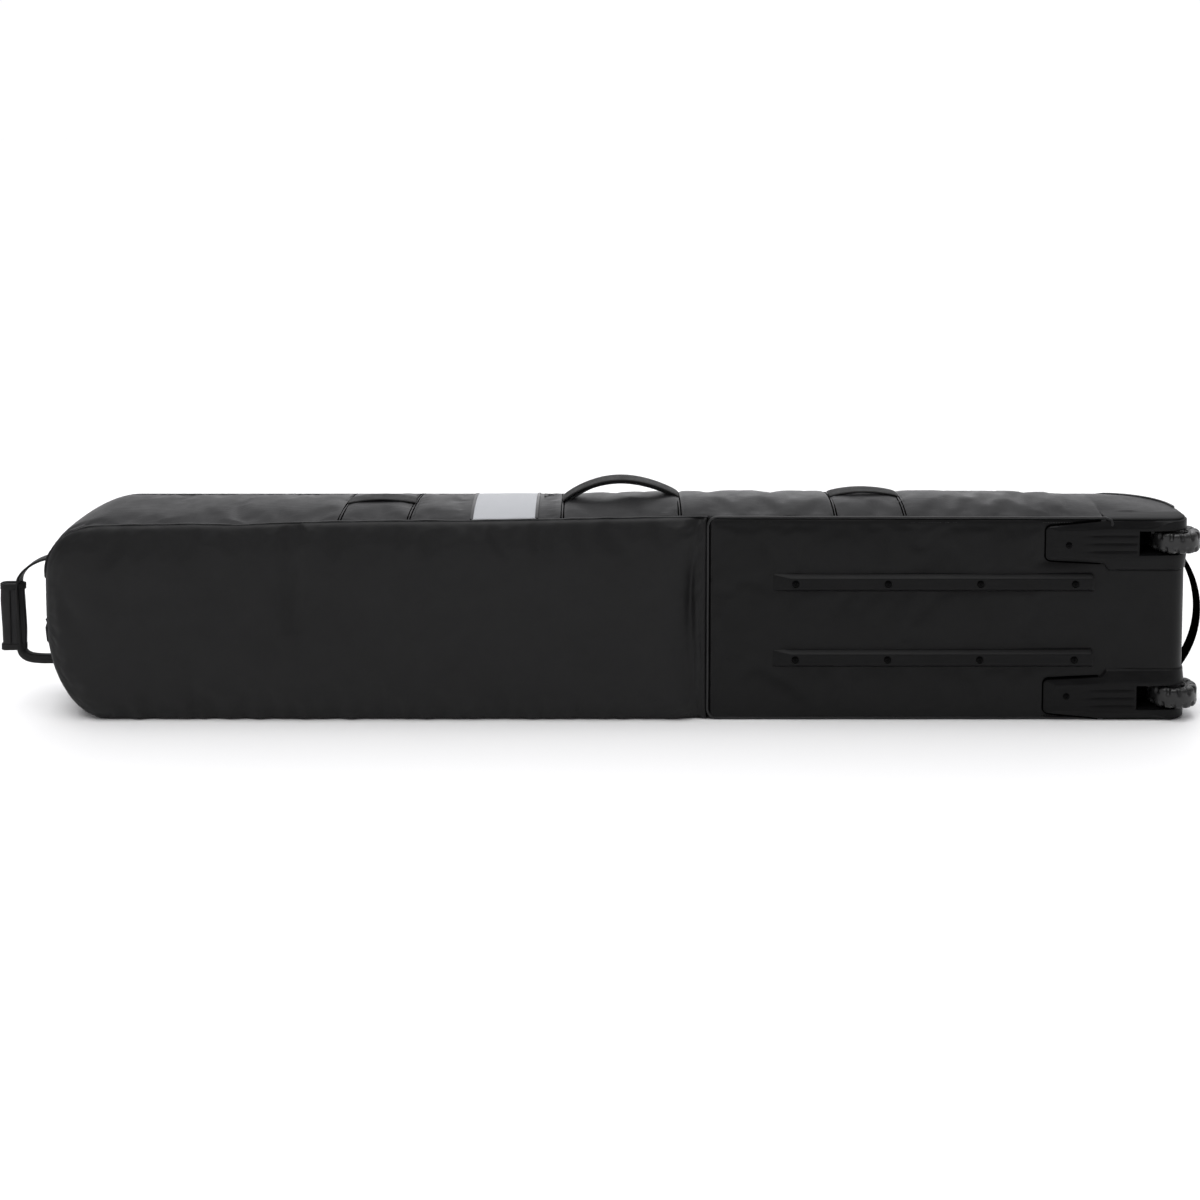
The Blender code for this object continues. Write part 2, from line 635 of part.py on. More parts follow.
def skid_rail(side, word):
    seat = BASE - GAP
    top = seat - RAIL_HEIGHT
    profile = [(RAIL_START, seat), (RAIL_START, seat - RAIL_TOE), (RAIL_START + RAIL_RAMP, top),
               (RAIL_END - RAIL_CHAMFER, top), (RAIL_END, top + RAIL_CHAMFER), (RAIL_END, seat)]
    centre = MID + side * RAIL_OFFSET
    rail = plate(f"skid_rail_{word}", profile, "Z", centre - RAIL_WIDTH / 2,
                 centre + RAIL_WIDTH / 2, NYLON)
    for number, x in enumerate(RAIL_SCREWS, start=1):
        screw(f"rail_screw_{word}_{number}", rail, x, centre, top)


# ---- inner tie-down straps ----------------------------------------------------------------
def tie_down(x, word):
    half = STRAP_WIDTH / 2
    far = STRAP_Y + WEBBING / 2
    length, thickness, height = BUCKLE
    front = STRAP_Y - (thickness - WEBBING / 2) / 2
    block(f"strap_lower_{word}", (x - half, STRAP_Y, BORDER_EDGE),
          (x + half, far, BUCKLE_START - GAP), WEAVE)
    block(f"buckle_socket_{word}", (x - length / 2, front, BUCKLE_START),
          (x + length / 2, front + thickness, BUCKLE_START + height), BUCKLE_NYLON, 0.0015)
    tongue_low = BUCKLE_START + height + GAP
    tongue_high = tongue_low + TONGUE_HEIGHT
    anchor = pivot(f"tongue_axis_{word}", (x, STRAP_Y, tongue_low))
    tongue = block(f"buckle_tongue_{word}", (x - length / 2, front, tongue_low),
                   (x + length / 2, front + thickness, tongue_high), BUCKLE_NYLON, 0.0015)
    upper = block(f"strap_upper_{word}", (x - half, STRAP_Y, tongue_high + GAP),
                  (x + half, far, HEIGHT - BORDER_EDGE), WEAVE)
    hang(anchor, tongue, upper)


base_panels()
gussets()
tail_wall()
window_patch()
zip_and_lid()
handles()
nose_haul()
tail_haul()
for side, word in ((1, "upper"), (-1, "lower")):
    wheel_corner(side, word)
    skid_rail(side, word)
tie_down(-STRAP_X, "nose")
tie_down(STRAP_X, "tail")
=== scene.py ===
"""Looks for a wheeled snowboard bag: cloth, webbing, zips, moulded housings and wheels.

Metres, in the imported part's frame: +X nose to tail, +Y base to lid, +Z up.
"""
import math

import bmesh
import bpy
import numpy as np
from mathutils import Matrix, Vector, noise


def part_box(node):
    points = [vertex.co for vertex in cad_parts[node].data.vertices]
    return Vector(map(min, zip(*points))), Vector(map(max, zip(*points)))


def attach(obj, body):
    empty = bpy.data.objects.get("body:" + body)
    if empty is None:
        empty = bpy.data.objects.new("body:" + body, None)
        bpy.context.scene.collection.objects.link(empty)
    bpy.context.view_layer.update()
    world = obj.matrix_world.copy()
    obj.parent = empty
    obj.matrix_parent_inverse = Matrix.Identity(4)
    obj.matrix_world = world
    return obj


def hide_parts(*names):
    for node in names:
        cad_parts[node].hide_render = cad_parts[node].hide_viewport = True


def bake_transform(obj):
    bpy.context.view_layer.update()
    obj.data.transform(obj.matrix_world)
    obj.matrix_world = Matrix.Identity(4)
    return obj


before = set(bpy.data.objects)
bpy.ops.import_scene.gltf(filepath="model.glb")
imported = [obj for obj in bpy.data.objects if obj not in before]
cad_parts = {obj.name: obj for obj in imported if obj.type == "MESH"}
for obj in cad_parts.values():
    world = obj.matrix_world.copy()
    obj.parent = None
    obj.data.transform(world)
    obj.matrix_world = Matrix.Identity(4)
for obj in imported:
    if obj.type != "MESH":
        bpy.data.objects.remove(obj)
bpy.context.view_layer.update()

# ---- sizes read from the frame -----------------------------------------------------------
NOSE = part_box("base_panel_nose")[0].x
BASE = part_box("base_panel_nose")[0].y
SEAM_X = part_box("base_panel_tail")[0].x
HEEL_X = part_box("base_panel_tail")[1].x
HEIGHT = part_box("gusset_upper_middle")[1].z
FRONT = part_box("gusset_lower")[1].y
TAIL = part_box("tail_wall")[1].x
LID_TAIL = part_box("tail_wall")[0].x
LID_LOW, LID_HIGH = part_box("lid_panel")
MID = HEIGHT / 2
LID_RADIUS = TAIL - LID_TAIL          # rounding from the lid into the tail
HEEL_RADIUS = TAIL - HEEL_X           # rounding from the base into the tail
NOSE_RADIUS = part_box("gusset_nose")[1].x - NOSE
NOSE_CENTRE = NOSE + NOSE_RADIUS
HOUSING_START = 0.706                 # where a housing widens, after its tongue
PROFILE_START = 0.686                 # where the tail's profile begins, before the heel
WRAP_END = -0.030                     # y at which the base's cloth stops on the tail
SEAM_Y = BASE + 0.0045                # where the base is sewn to the side walls
CLOTH = 0.003                         # thickness of the cloth
SEWN = 1.15                           # how strongly a panel is held at its seams
WHEEL_LOW, WHEEL_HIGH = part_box("wheel_tyre_upper")
WHEEL = (WHEEL_LOW + WHEEL_HIGH) / 2
WHEEL_OFFSET = WHEEL.z - MID
WHEEL_RADIUS = (WHEEL_HIGH.x - WHEEL_LOW.x) / 2
SLOT_START = 0.751                    # the housing's slot for the wheel
SLOT_HALF = 0.0178
CORNER_FULLNESS = 2.5                 # superellipse power of the base's upper nose corner
NOSE_HIGH, NOSE_LOW = 0.210, 0.145    # where the nose's two corners begin
LOW_RADIUS = 0.087                    # reach of the lower one along the bag


def seam_height(x):
    """Height of the upper base seam: it sags towards the nose and lifts at the cross seam."""
    return np.interp(x, (-0.80, -0.725, -0.61, -0.552, -0.46, -0.35, -0.20, -0.05, 0.06, 0.127,
                         0.135, 0.35, 0.70, TAIL),
                     (0.2835, 0.2850, 0.2872, 0.2855, 0.2895, 0.2915, 0.2920, 0.2945, 0.2968,
                      0.2985, 0.2975, 0.2968, 0.2962, 0.2955))


def crown(x):
    """How far the upper side bulges at mid depth: more over the stiffer tail half."""
    return np.interp(x, (-0.725, -0.50, -0.10, 0.08, 0.25, 0.60, 0.72, 0.80),
                     (0.0035, 0.0070, 0.0108, 0.0150, 0.0155, 0.0145, 0.0085, 0.0025))


# ---- mesh helpers ------------------------------------------------------------------------
def fit(piece, body, slot, *nodes):
    """A piece's body, its material slot (not used) and the CAD nodes that it takes the place of."""
    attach(piece, body)
    if nodes:
        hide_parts(*nodes)


def blend_on(piece, node):
    """Webbing in the place of a CAD node: its transform is baked into its mesh and the node is
    hidden.
    """
    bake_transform(piece)
    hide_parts(node)


def add_object(name, data):
    made = bpy.data.objects.new(name, data)
    bpy.context.scene.collection.objects.link(made)
    return made


def shape_object(name, shape, finish=None):
    """An object made from a bmesh, which is freed."""
    mesh = bpy.data.meshes.new(name)
    shape.to_mesh(mesh)
    shape.free()
    if finish:
        mesh.materials.append(finish)
    return add_object(name, mesh)


def mend(piece, weld=0.0):
    """Joins points closer than weld, and turns every face outwards."""
    shape = bmesh.new()
    shape.from_mesh(piece.data)
    if weld:
        bmesh.ops.remove_doubles(shape, verts=shape.verts, dist=weld)
    bmesh.ops.recalc_face_normals(shape, faces=shape.faces)
    shape.to_mesh(piece.data)
    shape.free()


def smooth_up_to(piece, degrees):
    """Smooth shading, with an edge wherever faces meet at more than an angle."""
    piece.data.shade_smooth()
    piece.data.set_sharp_from_angle(angle=math.radians(degrees))


def positions(piece):
    """The x, y and z of a mesh's points, as three arrays."""
    co = np.empty(len(piece.data.vertices) * 3)
    piece.data.vertices.foreach_get("co", co)
    return co.reshape(-1, 3).T


def spread_out(values, count):
    """A column of values repeated across count columns."""
    return np.repeat(np.asarray(values)[:, None], count, axis=1)


def arc(centre, radius, first, last, steps, skip=0):
    """Points of an arc between two angles in degrees."""
    turns = [math.radians(first + (last - first) * k / steps) for k in range(skip, steps + 1)]
    return [(centre[0] + radius * math.cos(turn), centre[1] + radius * math.sin(turn))
            for turn in turns]


def resampled(track, count=260):
    """A path in a plane as a fixed number of evenly spaced points."""
    track = np.array(track)
    gone = np.concatenate([[0], np.cumsum(np.hypot(*np.diff(track, axis=0).T))])
    wanted = np.linspace(0, 1, count)
    return np.stack([np.interp(wanted, gone / gone[-1], track[:, k]) for k in (0, 1)], axis=1)


def box_middle(node):
    low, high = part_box(node)
    return (low + high) / 2


def repaint(node, finish):
    """A new material for a CAD piece that keeps its own mesh."""
    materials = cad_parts[node].data.materials
    materials.clear()
    materials.append(finish)


def mesh_piece(name, verts, faces, finish, smooth=True):
    """A mesh object with one material."""
    mesh = bpy.data.meshes.new(name)
    mesh.from_pydata([tuple(v) for v in verts], [], faces)
    mesh.materials.append(finish)
    if smooth:
        mesh.shade_smooth()
    return add_object(name, mesh)


def grid_piece(name, x, y, z, finish, keep=None, flip=False, wrap=False):
    """A sheet from arrays of positions. keep marks the faces that stay."""
    rows, columns = x.shape
    verts = np.stack([x, y, z], axis=-1).reshape(-1, 3)
    faces = []
    last = rows if wrap else rows - 1
    for i in range(last):
        for j in range(columns - 1):
            if keep is not None and not keep[i, j]:
                continue
            following = (i + 1) % rows
            face = (i * columns + j, following * columns + j,
                    following * columns + j + 1, i * columns + j + 1)
            faces.append(face[::-1] if flip else face)
    made = mesh_piece(name, verts, faces, finish)
    drop_loose(made)
    return made


def drop_loose(piece):
    shape = bmesh.new()
    shape.from_mesh(piece.data)
    loose = [v for v in shape.verts if not v.link_faces]
    bmesh.ops.delete(shape, geom=loose, context="VERTS")
    shape.to_mesh(piece.data)
    shape.free()


def apply_modifiers(piece):
    bpy.context.view_layer.update()
    graph = bpy.context.evaluated_depsgraph_get()
    mesh = bpy.data.meshes.new_from_object(piece.evaluated_get(graph))
    piece.modifiers.clear()
    piece.data = mesh
    return piece


def thicken(piece, thickness=CLOTH, offset=-1.0):
    solid = piece.modifiers.new("thickness", "SOLIDIFY")
    solid.thickness = thickness
    solid.offset = offset
    solid.use_even_offset = False
    return apply_modifiers(piece)


def bevelled(piece, width, segments=2, angle=35):
    rounding = piece.modifiers.new("rounding", "BEVEL")
    rounding.width = width
    rounding.segments = segments
    rounding.limit_method = "ANGLE"
    rounding.angle_limit = math.radians(angle)
    apply_modifiers(piece)
    smooth_up_to(piece, 40)
    return piece


def joined(name, pieces):
    """Several meshes of one material as one piece."""
    shape = bmesh.new()
    for piece in pieces:
        piece.data.transform(piece.matrix_world)
        shape.from_mesh(piece.data)
    finish = pieces[0].data.materials[0]
    for piece in pieces:
        bpy.data.objects.remove(piece, do_unlink=True)
    return shape_object(name, shape, finish)


def cube_piece(name, low, high, finish, bevel=0.0, segments=2):
    low, high = Vector(low), Vector(high)
    shape = bmesh.new()
    place = Matrix.Translation((low + high) / 2) @ Matrix.Diagonal((*(high - low), 1.0))
    bmesh.ops.create_cube(shape, size=1.0, matrix=place)
    made = shape_object(name, shape, finish)
    return bevelled(made, bevel, segments) if bevel else made


def frames_along(points, side):
    """Unit vectors along, across and out of a path, with across kept near the side given."""
    points = [Vector(p) for p in points]
    result = []
    for index, point in enumerate(points):
        before = points[max(index - 1, 0)]
        after = points[min(index + 1, len(points) - 1)]
        along = (after - before).normalized()
        wanted = Vector(side)
        across = (wanted - along * wanted.dot(along)).normalized()
        result.append((point, along, across, along.cross(across)))
    return result


def tube_faces(rings, count, first=0):
    """Faces of a tube: quads between its rings of points, and a cap on either end."""
    faces = []
    for i in range(rings - 1):
        ring, following = first + i * count, first + (i + 1) * count
        for j in range(count):
            k = (j + 1) % count
            faces.append((ring + j, ring + k, following + k, following + j))
    faces.append(tuple(first + j for j in reversed(range(count))))
    faces.append(tuple(first + (rings - 1) * count + j for j in range(count)))
    return faces


def sweep(name, points, section, side, finish):
    """A solid swept along a path. section is one list of (across, out) points, or one list
    for each point of the path."""
    rings = []
    for index, (point, _, across, out) in enumerate(frames_along(points, side)):
        shape = section[index] if isinstance(section[0], list) else section
        rings.append([point + across * a + out * b for a, b in shape])
    verts = [v for ring in rings for v in ring]
    made = mesh_piece(name, verts, tube_faces(len(rings), len(rings[0])), finish)
    mend(made)
    made.data.set_sharp_from_angle(angle=math.radians(50))
    return made


def round_section(radius, sides=10):
    return [(radius * math.cos(2 * math.pi * k / sides), radius * math.sin(2 * math.pi * k / sides))
            for k in range(sides)]


def strap_section(width, thickness, sides=4, crown=0.0):
    """A flat woven strap's section: straight faces and rounded selvedges."""
    half, edge = width / 2, thickness / 2
    points = []
    for k in range(sides + 1):
        angle = -math.pi / 2 + math.pi * k / sides
        points.append((half - edge + edge * math.cos(angle), edge * math.sin(angle)))
    for across in (0.6, 0.2, -0.2, -0.6):
        points.append((across * half, edge + crown * (1 - across ** 2)))
    for k in range(sides + 1):
        angle = math.pi / 2 + math.pi * k / sides
        points.append((-half + edge + edge * math.cos(angle), edge * math.sin(angle)))
    for across in (-0.6, -0.2, 0.2, 0.6):
        points.append((across * half, -edge))
    return points


def smooth_path(points, steps=6):
    """A Catmull-Rom curve through points."""
    points = [Vector(p) for p in points]
    ends = [points[0] * 2 - points[1], *points, points[-1] * 2 - points[-2]]
    curve = [points[0]]
    for index in range(1, len(ends) - 2):
        a, b, c, d = ends[index - 1:index + 3]
        for step in range(1, steps + 1):
            t = step / steps
            curve.append(0.5 * (2 * b + (c - a) * t + (2 * a - 5 * b + 4 * c - d) * t ** 2
                                + (3 * b - a - 3 * c + d) * t ** 3))
    return curve


def evenly(points, spacing):
    """Points a fixed distance apart along a path, each with the path's direction."""
    points = [Vector(p) for p in points]
    result, left = [], spacing / 2
    for a, b in zip(points, points[1:]):
        length = (b - a).length
        if length < 1e-9:
            continue
        direction = (b - a) / length
        while left <= length:
            result.append((a + direction * left, direction))
            left += spacing
        left -= length
    return result


def stitches(name, paths, out, finish, length=0.0026, pitch=0.0038, radius=0.00035):
    """Rows of thread: one small spindle for each stitch. out is the way the cloth faces."""
    verts, faces = [], []
    out = Vector(out)
    for path in paths:
        for place, along in evenly(path, pitch):
            across = along.cross(out).normalized()
            lift = across.cross(along).normalized()
            first = len(verts)
            for share, size in ((-0.5, 0.35), (-0.25, 1.0), (0.25, 1.0), (0.5, 0.35)):
                middle = place + along * length * share + lift * radius * (size - 0.7)
                for k in range(5):
                    angle = 2 * math.pi * k / 5
                    verts.append(middle + (across * math.cos(angle) + lift * math.sin(angle))
                                 * radius * size)
            faces += tube_faces(4, 5, first)
    return mesh_piece(name, verts, faces, finish)


def turned(name, profile, centre, finish, steps=48, bumps=None):
    """A ring turned about Z from (radius, height) points given as a closed loop. bumps
    changes a point's radius from its angle, radius and height."""
    verts, faces = [], []
    count = len(profile)
    for i in range(steps):
        angle = 2 * math.pi * i / steps
        for radius, height in profile:
            if bumps:
                radius = bumps(angle, radius, height)
            verts.append((centre[0] + radius * math.cos(angle),
                          centre[1] + radius * math.sin(angle), centre[2] + height))
    for i in range(steps):
        for j in range(count):
            k = (j + 1) % count
            n = (i + 1) % steps
            faces.append((i * count + j, n * count + j, n * count + k, i * count + k))
    made = mesh_piece(name, verts, faces, finish)
    mend(made, 1e-7)
    made.data.set_sharp_from_angle(angle=math.radians(38))
    return made


def cut(piece, tool):
    step = piece.modifiers.new("cut", "BOOLEAN")
    step.operation = "DIFFERENCE"
    step.object = tool
    step.solver = "EXACT"
    apply_modifiers(piece)
    bpy.data.objects.remove(tool, do_unlink=True)
    return piece


def wave(x, z, size, seed=0.0):
    """Smooth noise over an array of places, about -1 to 1, with features of a given size."""
    flat = [noise.noise(Vector((a / size, b / size, seed)))
            for a, b in zip(np.ravel(x), np.ravel(z))]
    return np.array(flat).reshape(np.shape(x)) * 1.6


def valley(x, z, start, end, width, depth):
    """A soft crease along a line in the cloth: its depth at each place."""
    (ax, az), (bx, bz) = start, end
    along = ((x - ax) * (bx - ax) + (z - az) * (bz - az)) / ((bx - ax) ** 2 + (bz - az) ** 2)
    share = np.clip(along, 0, 1)
    away = np.hypot(x - (ax + share * (bx - ax)), z - (az + share * (bz - az)))
    return depth * np.exp(-(away / width) ** 2) * np.sin(math.pi * share) ** 0.6


def shoulder(distance, reach):
    """0 at a seam, rising as a quarter ellipse to 1 at the given distance from it."""
    share = np.clip(distance / reach, 0, 1)
    return np.sqrt(np.clip(1 - (1 - share) ** 2, 0, 1))


def eased(count, amount=0.6):
    """Shares from 0 to 1, closer together at the ends."""
    even = np.linspace(0, 1, count)
    return (1 - amount) * even + amount * (0.5 - 0.5 * np.cos(math.pi * even))


# ---- materials ---------------------------------------------------------------------------
class Finish:
    """A node material in short: textures in object space that feed colour, roughness
    and bump of one Principled shader."""

    def __init__(self, name, colour, roughness, metallic=0.0):
        self.material = bpy.data.materials.new(name)
        self.material.use_nodes = True
        self.tree = self.material.node_tree
        self.shader = self.tree.nodes["Principled BSDF"]
        self.colour, self.roughness = colour, roughness
        self.shader.inputs["Metallic"].default_value = metallic
        self.shader.inputs["Roughness"].default_value = roughness
        self.place = self.node("ShaderNodeTexCoord").outputs["Object"]
        self.bump_chain = None

    def node(self, kind, **settings):
        made = self.tree.nodes.new(kind)
        for key, value in settings.items():
            setattr(made, key, value)
        return made

    def link(self, out, into):
        self.tree.links.new(out, into)

    def mapped(self, scale=(1, 1, 1), rotation=(0, 0, 0)):
        made = self.node("ShaderNodeMapping")
        made.inputs["Scale"].default_value = scale
        made.inputs["Rotation"].default_value = rotation
        self.link(self.place, made.inputs["Vector"])
        return made.outputs["Vector"]

    def noise(self, scale, detail=3.0, rough=0.55, stretch=(1, 1, 1)):
        made = self.node("ShaderNodeTexNoise")
        made.inputs["Scale"].default_value = scale
        made.inputs["Detail"].default_value = detail
        made.inputs["Roughness"].default_value = rough
        self.link(self.mapped(stretch), made.inputs["Vector"])
        return made.outputs["Fac"]

    def bands(self, pitch, axis, rotation=(0, 0, 0), distortion=0.0):
        made = self.node("ShaderNodeTexWave", wave_type="BANDS", bands_direction=axis)
        made.inputs["Scale"].default_value = math.pi / (10 * pitch)
        made.inputs["Distortion"].default_value = distortion
        made.inputs["Detail"].default_value = 1.0
        made.inputs["Detail Scale"].default_value = 2.0
        self.link(self.mapped(rotation=rotation), made.inputs["Vector"])
        return made.outputs["Fac"]

    def maths(self, operation, a, b):
        made = self.node("ShaderNodeMath", operation=operation)
        for socket, value in zip(made.inputs, (a, b)):
            if isinstance(value, (int, float)):
                socket.default_value = value
            else:
                self.link(value, socket)
        return made.outputs[0]

    def spread(self, value, low, high, out_low, out_high):
        made = self.node("ShaderNodeMapRange")
        for key, number in (("From Min", low), ("From Max", high), ("To Min", out_low),
                            ("To Max", out_high)):
            made.inputs[key].default_value = number
        self.link(value, made.inputs["Value"])
        return made.outputs["Result"]

    def tint(self, factor, dark, light):
        """Base colour from dark to light shares of the finish's colour."""
        ramp = self.node("ShaderNodeMix", data_type="RGBA")
        ramp.inputs["A"].default_value = (*[c * dark for c in self.colour], 1)
        ramp.inputs["B"].default_value = (*[c * light for c in self.colour], 1)
        self.link(factor, ramp.inputs["Factor"])
        self.link(ramp.outputs["Result"], self.shader.inputs["Base Color"])

    def roughen(self, factor, low, high):
        self.link(self.spread(factor, 0.25, 0.75, low, high), self.shader.inputs["Roughness"])

    def bump(self, height, strength, distance):
        made = self.node("ShaderNodeBump")
        made.inputs["Strength"].default_value = strength
        made.inputs["Distance"].default_value = distance
        self.link(height, made.inputs["Height"])
        if self.bump_chain:
            self.link(self.bump_chain, made.inputs["Normal"])
        self.bump_chain = made.outputs["Normal"]
        self.link(self.bump_chain, self.shader.inputs["Normal"])

    def set(self, **sockets):
        for key, value in sockets.items():
            self.shader.inputs[key.replace("_", " ")].default_value = value


def weave_height(finish, pitch):
    """A plain weave's height: threads along each of the three axes, over and under."""
    x = finish.bands(pitch, "X")
    y = finish.bands(pitch, "Y")
    z = finish.bands(pitch, "Z")
    return finish.maths("ADD", finish.maths("MAXIMUM", x, finish.maths("MULTIPLY", y, z)), z)


def coated_cloth(name="coated_cloth", colour=(0.0075, 0.0075, 0.0078), low=0.42, high=0.54,
                 specular=0.19):
    """Black polyester with a coating: semi-gloss, fine weave, faint handling marks."""
    finish = Finish(name, colour, 0.46)
    clouds = finish.noise(9.0, 4.0)
    finish.tint(clouds, 0.8, 1.25)
    finish.roughen(finish.noise(38.0, 4.0, 0.6), low, high)
    finish.bump(finish.noise(55.0, 3.0), 0.10, 0.0012)
    finish.bump(weave_height(finish, 0.0011), 0.22, 0.00018)
    finish.set(Specular_IOR_Level=specular)
    return finish.material


def tarpaulin():
    """The tougher tail cloth: smoother, with a fine pebbled coat."""
    finish = Finish("tarpaulin", (0.0048, 0.0048, 0.0050), 0.42)
    finish.tint(finish.noise(7.0, 4.0), 0.85, 1.2)
    finish.roughen(finish.noise(30.0, 4.0, 0.6), 0.37, 0.50)
    pebble = finish.node("ShaderNodeTexVoronoi")
    pebble.inputs["Scale"].default_value = 900.0
    finish.link(finish.mapped(), pebble.inputs["Vector"])
    finish.bump(finish.noise(26.0, 2.0), 0.12, 0.0015)
    finish.bump(pebble.outputs["Distance"], 0.14, 0.0002)
    finish.set(Specular_IOR_Level=0.15)
    return finish.material


def webbing(name="webbing", colour=(0.0075, 0.0075, 0.0075), specular=0.2):
    """Woven strap: ribs across and a chevron of threads."""
    finish = Finish(name, colour, 0.62)
    ribs = finish.maths("ADD", finish.bands(0.0016, "X"), finish.bands(0.0016, "Z"))
    chevron = finish.bands(0.0022, "DIAGONAL")
    height = finish.maths("ADD", ribs, finish.maths("MULTIPLY", chevron, finish.bands(0.0024, "Y")))
    finish.tint(finish.spread(height, 0.0, 2.4, 0.0, 1.0), 0.55, 1.7)
    finish.roughen(finish.noise(60.0), 0.55, 0.72)
    finish.bump(height, 0.5, 0.0004)
    finish.set(Specular_IOR_Level=specular)
    return finish.material


def window_cloth():
    """Light grey ribbed mesh, with dark pinholes between its threads."""
    finish = Finish("grey_window", (0.40, 0.41, 0.43), 0.55)
    one = finish.bands(0.0032, "X", rotation=(0, 0, math.radians(45)))
    two = finish.bands(0.0032, "Y", rotation=(0, 0, math.radians(45)))
    cells = finish.maths("MULTIPLY", one, two)
    finish.tint(finish.spread(cells, 0.0, 0.35, 0.0, 1.0), 0.72, 1.12)
    finish.roughen(finish.noise(80.0), 0.5, 0.65)
    finish.bump(cells, 0.4, 0.0004)
    return finish.material


def moulded(name="moulded_plastic", colour=(0.0070, 0.0070, 0.0073), rough=(0.34, 0.46),
            specular=0.26):
    """Injection-moulded plastic: fine spark grain, faint scuffs along its length."""
    finish = Finish(name, colour, 0.4)
    scuff = finish.noise(40.0, 5.0, 0.7, stretch=(0.6, 5.0, 5.0))
    finish.tint(finish.spread(scuff, 0.35, 0.75, 0.0, 1.0), 0.85, 1.5)
    finish.roughen(scuff, rough[0], rough[1])
    finish.bump(finish.noise(1400.0, 2.0), 0.16, 0.0002)
    finish.set(Specular_IOR_Level=specular)
    return finish.material


def rubber():
    finish = Finish("tyre_rubber", (0.0105, 0.0105, 0.0108), 0.36)
    dust = finish.noise(120.0, 4.0, 0.6)
    finish.tint(dust, 0.85, 1.3)
    finish.roughen(dust, 0.28, 0.40)
    finish.set(Specular_IOR_Level=0.4)
    finish.bump(finish.noise(700.0, 3.0), 0.15, 0.0002)
    return finish.material


def metal(name, colour, roughness, metallic=1.0, scale=300.0, specular=0.5):
    finish = Finish(name, colour, roughness, metallic)
    finish.set(Specular_IOR_Level=specular)
    grain = finish.noise(scale, 3.0, 0.6)
    finish.tint(grain, 0.75, 1.3)
    finish.roughen(grain, roughness * 0.8, roughness * 1.3)
    finish.bump(grain, 0.06, 0.0001)
    return finish.material


def thread():
    finish = Finish("thread", (0.012, 0.012, 0.0125), 0.55)
    twist = finish.bands(0.0005, "DIAGONAL")
    finish.tint(twist, 0.6, 1.4)
    finish.roughen(twist, 0.45, 0.6)
    finish.bump(twist, 0.3, 0.0001)
    return finish.material


def stage_finish(name, colour, roughness):
    finish = Finish(name, colour, roughness)
    finish.tint(finish.noise(1.5, 2.0), 0.985, 1.01)
    return finish.material


CLOTH_FINISH = coated_cloth()
WALL_FINISH = coated_cloth("side_cloth", (0.0095, 0.0095, 0.0101), 0.38, 0.50, 0.19)
TARPAULIN = tarpaulin()
WEBBING = webbing()
# near-black webbing: the tail loop's own colour, and also the painted shade of the cross seams'
# cords and the housings' rim lines
DARK_WEBBING_AND_SHADE = webbing("dark_webbing_and_painted_shade", (0.0010, 0.0010, 0.0010), 0.0)
GREY = window_cloth()
PLASTIC = moulded(colour=(0.0046, 0.0046, 0.0048), specular=0.11)
DULL_PLASTIC = moulded("dull_plastic", (0.0045, 0.0045, 0.0047), (0.46, 0.58), 0.10)
BUCKLE = moulded("buckle_plastic", (0.011, 0.011, 0.0115), (0.28, 0.38))
HUB = moulded("hub_plastic", (0.03, 0.03, 0.031), (0.32, 0.42))
RUBBER = rubber()
STEEL = metal("steel", (0.40, 0.40, 0.41), 0.28)
BLACK_STEEL = metal("black_screw", (0.0010, 0.0010, 0.0011), 0.24, 0.0, specular=0.05)
ZINC = metal("zip_metal", (0.07, 0.07, 0.075), 0.28)
COIL = moulded("zip_coil", (0.014, 0.014, 0.015), (0.35, 0.45))
THREAD = thread()
PIPING = coated_cloth("piping", (0.009, 0.009, 0.0095), 0.30, 0.42, 0.35)


# ---- the bag's outline -------------------------------------------------------------------
def outline_span(x):
    """Lowest and highest z of the base's outline at x: a full upper corner at the nose, a
    longer lower one, and an upper seam that sags towards the nose."""
    reach = np.clip((NOSE_CENTRE - x) / NOSE_RADIUS, 0, 1)
    power = 2 / CORNER_FULLNESS
    round_off = (1 - reach ** (2 / power)) ** (power / 2)
    high_at = NOSE_HIGH + (seam_height(NOSE_CENTRE) - NOSE_HIGH) * round_off
    low_reach = np.clip((NOSE + LOW_RADIUS - x) / LOW_RADIUS, 0, 1)
    low = NOSE_LOW * (1 - np.sqrt(1 - low_reach ** 2))
    return low, np.where(x < NOSE_CENTRE, high_at, seam_height(x))


def edge_distance(x, z, track=None):
    """How far a place on a panel is from the panel's outline."""
    track = NEAR_OUTLINE if track is None else track
    best = np.full(np.shape(x), 9.0)
    for (ax, az), (bx, bz) in zip(track[:-1], track[1:]):
        length = (bx - ax) ** 2 + (bz - az) ** 2
        if length < 1e-12:
            continue
        share = np.clip(((x - ax) * (bx - ax) + (z - az) * (bz - az)) / length, 0, 1)
        best = np.minimum(best, np.hypot(x - ax - share * (bx - ax), z - az - share * (bz - az)))
    return best


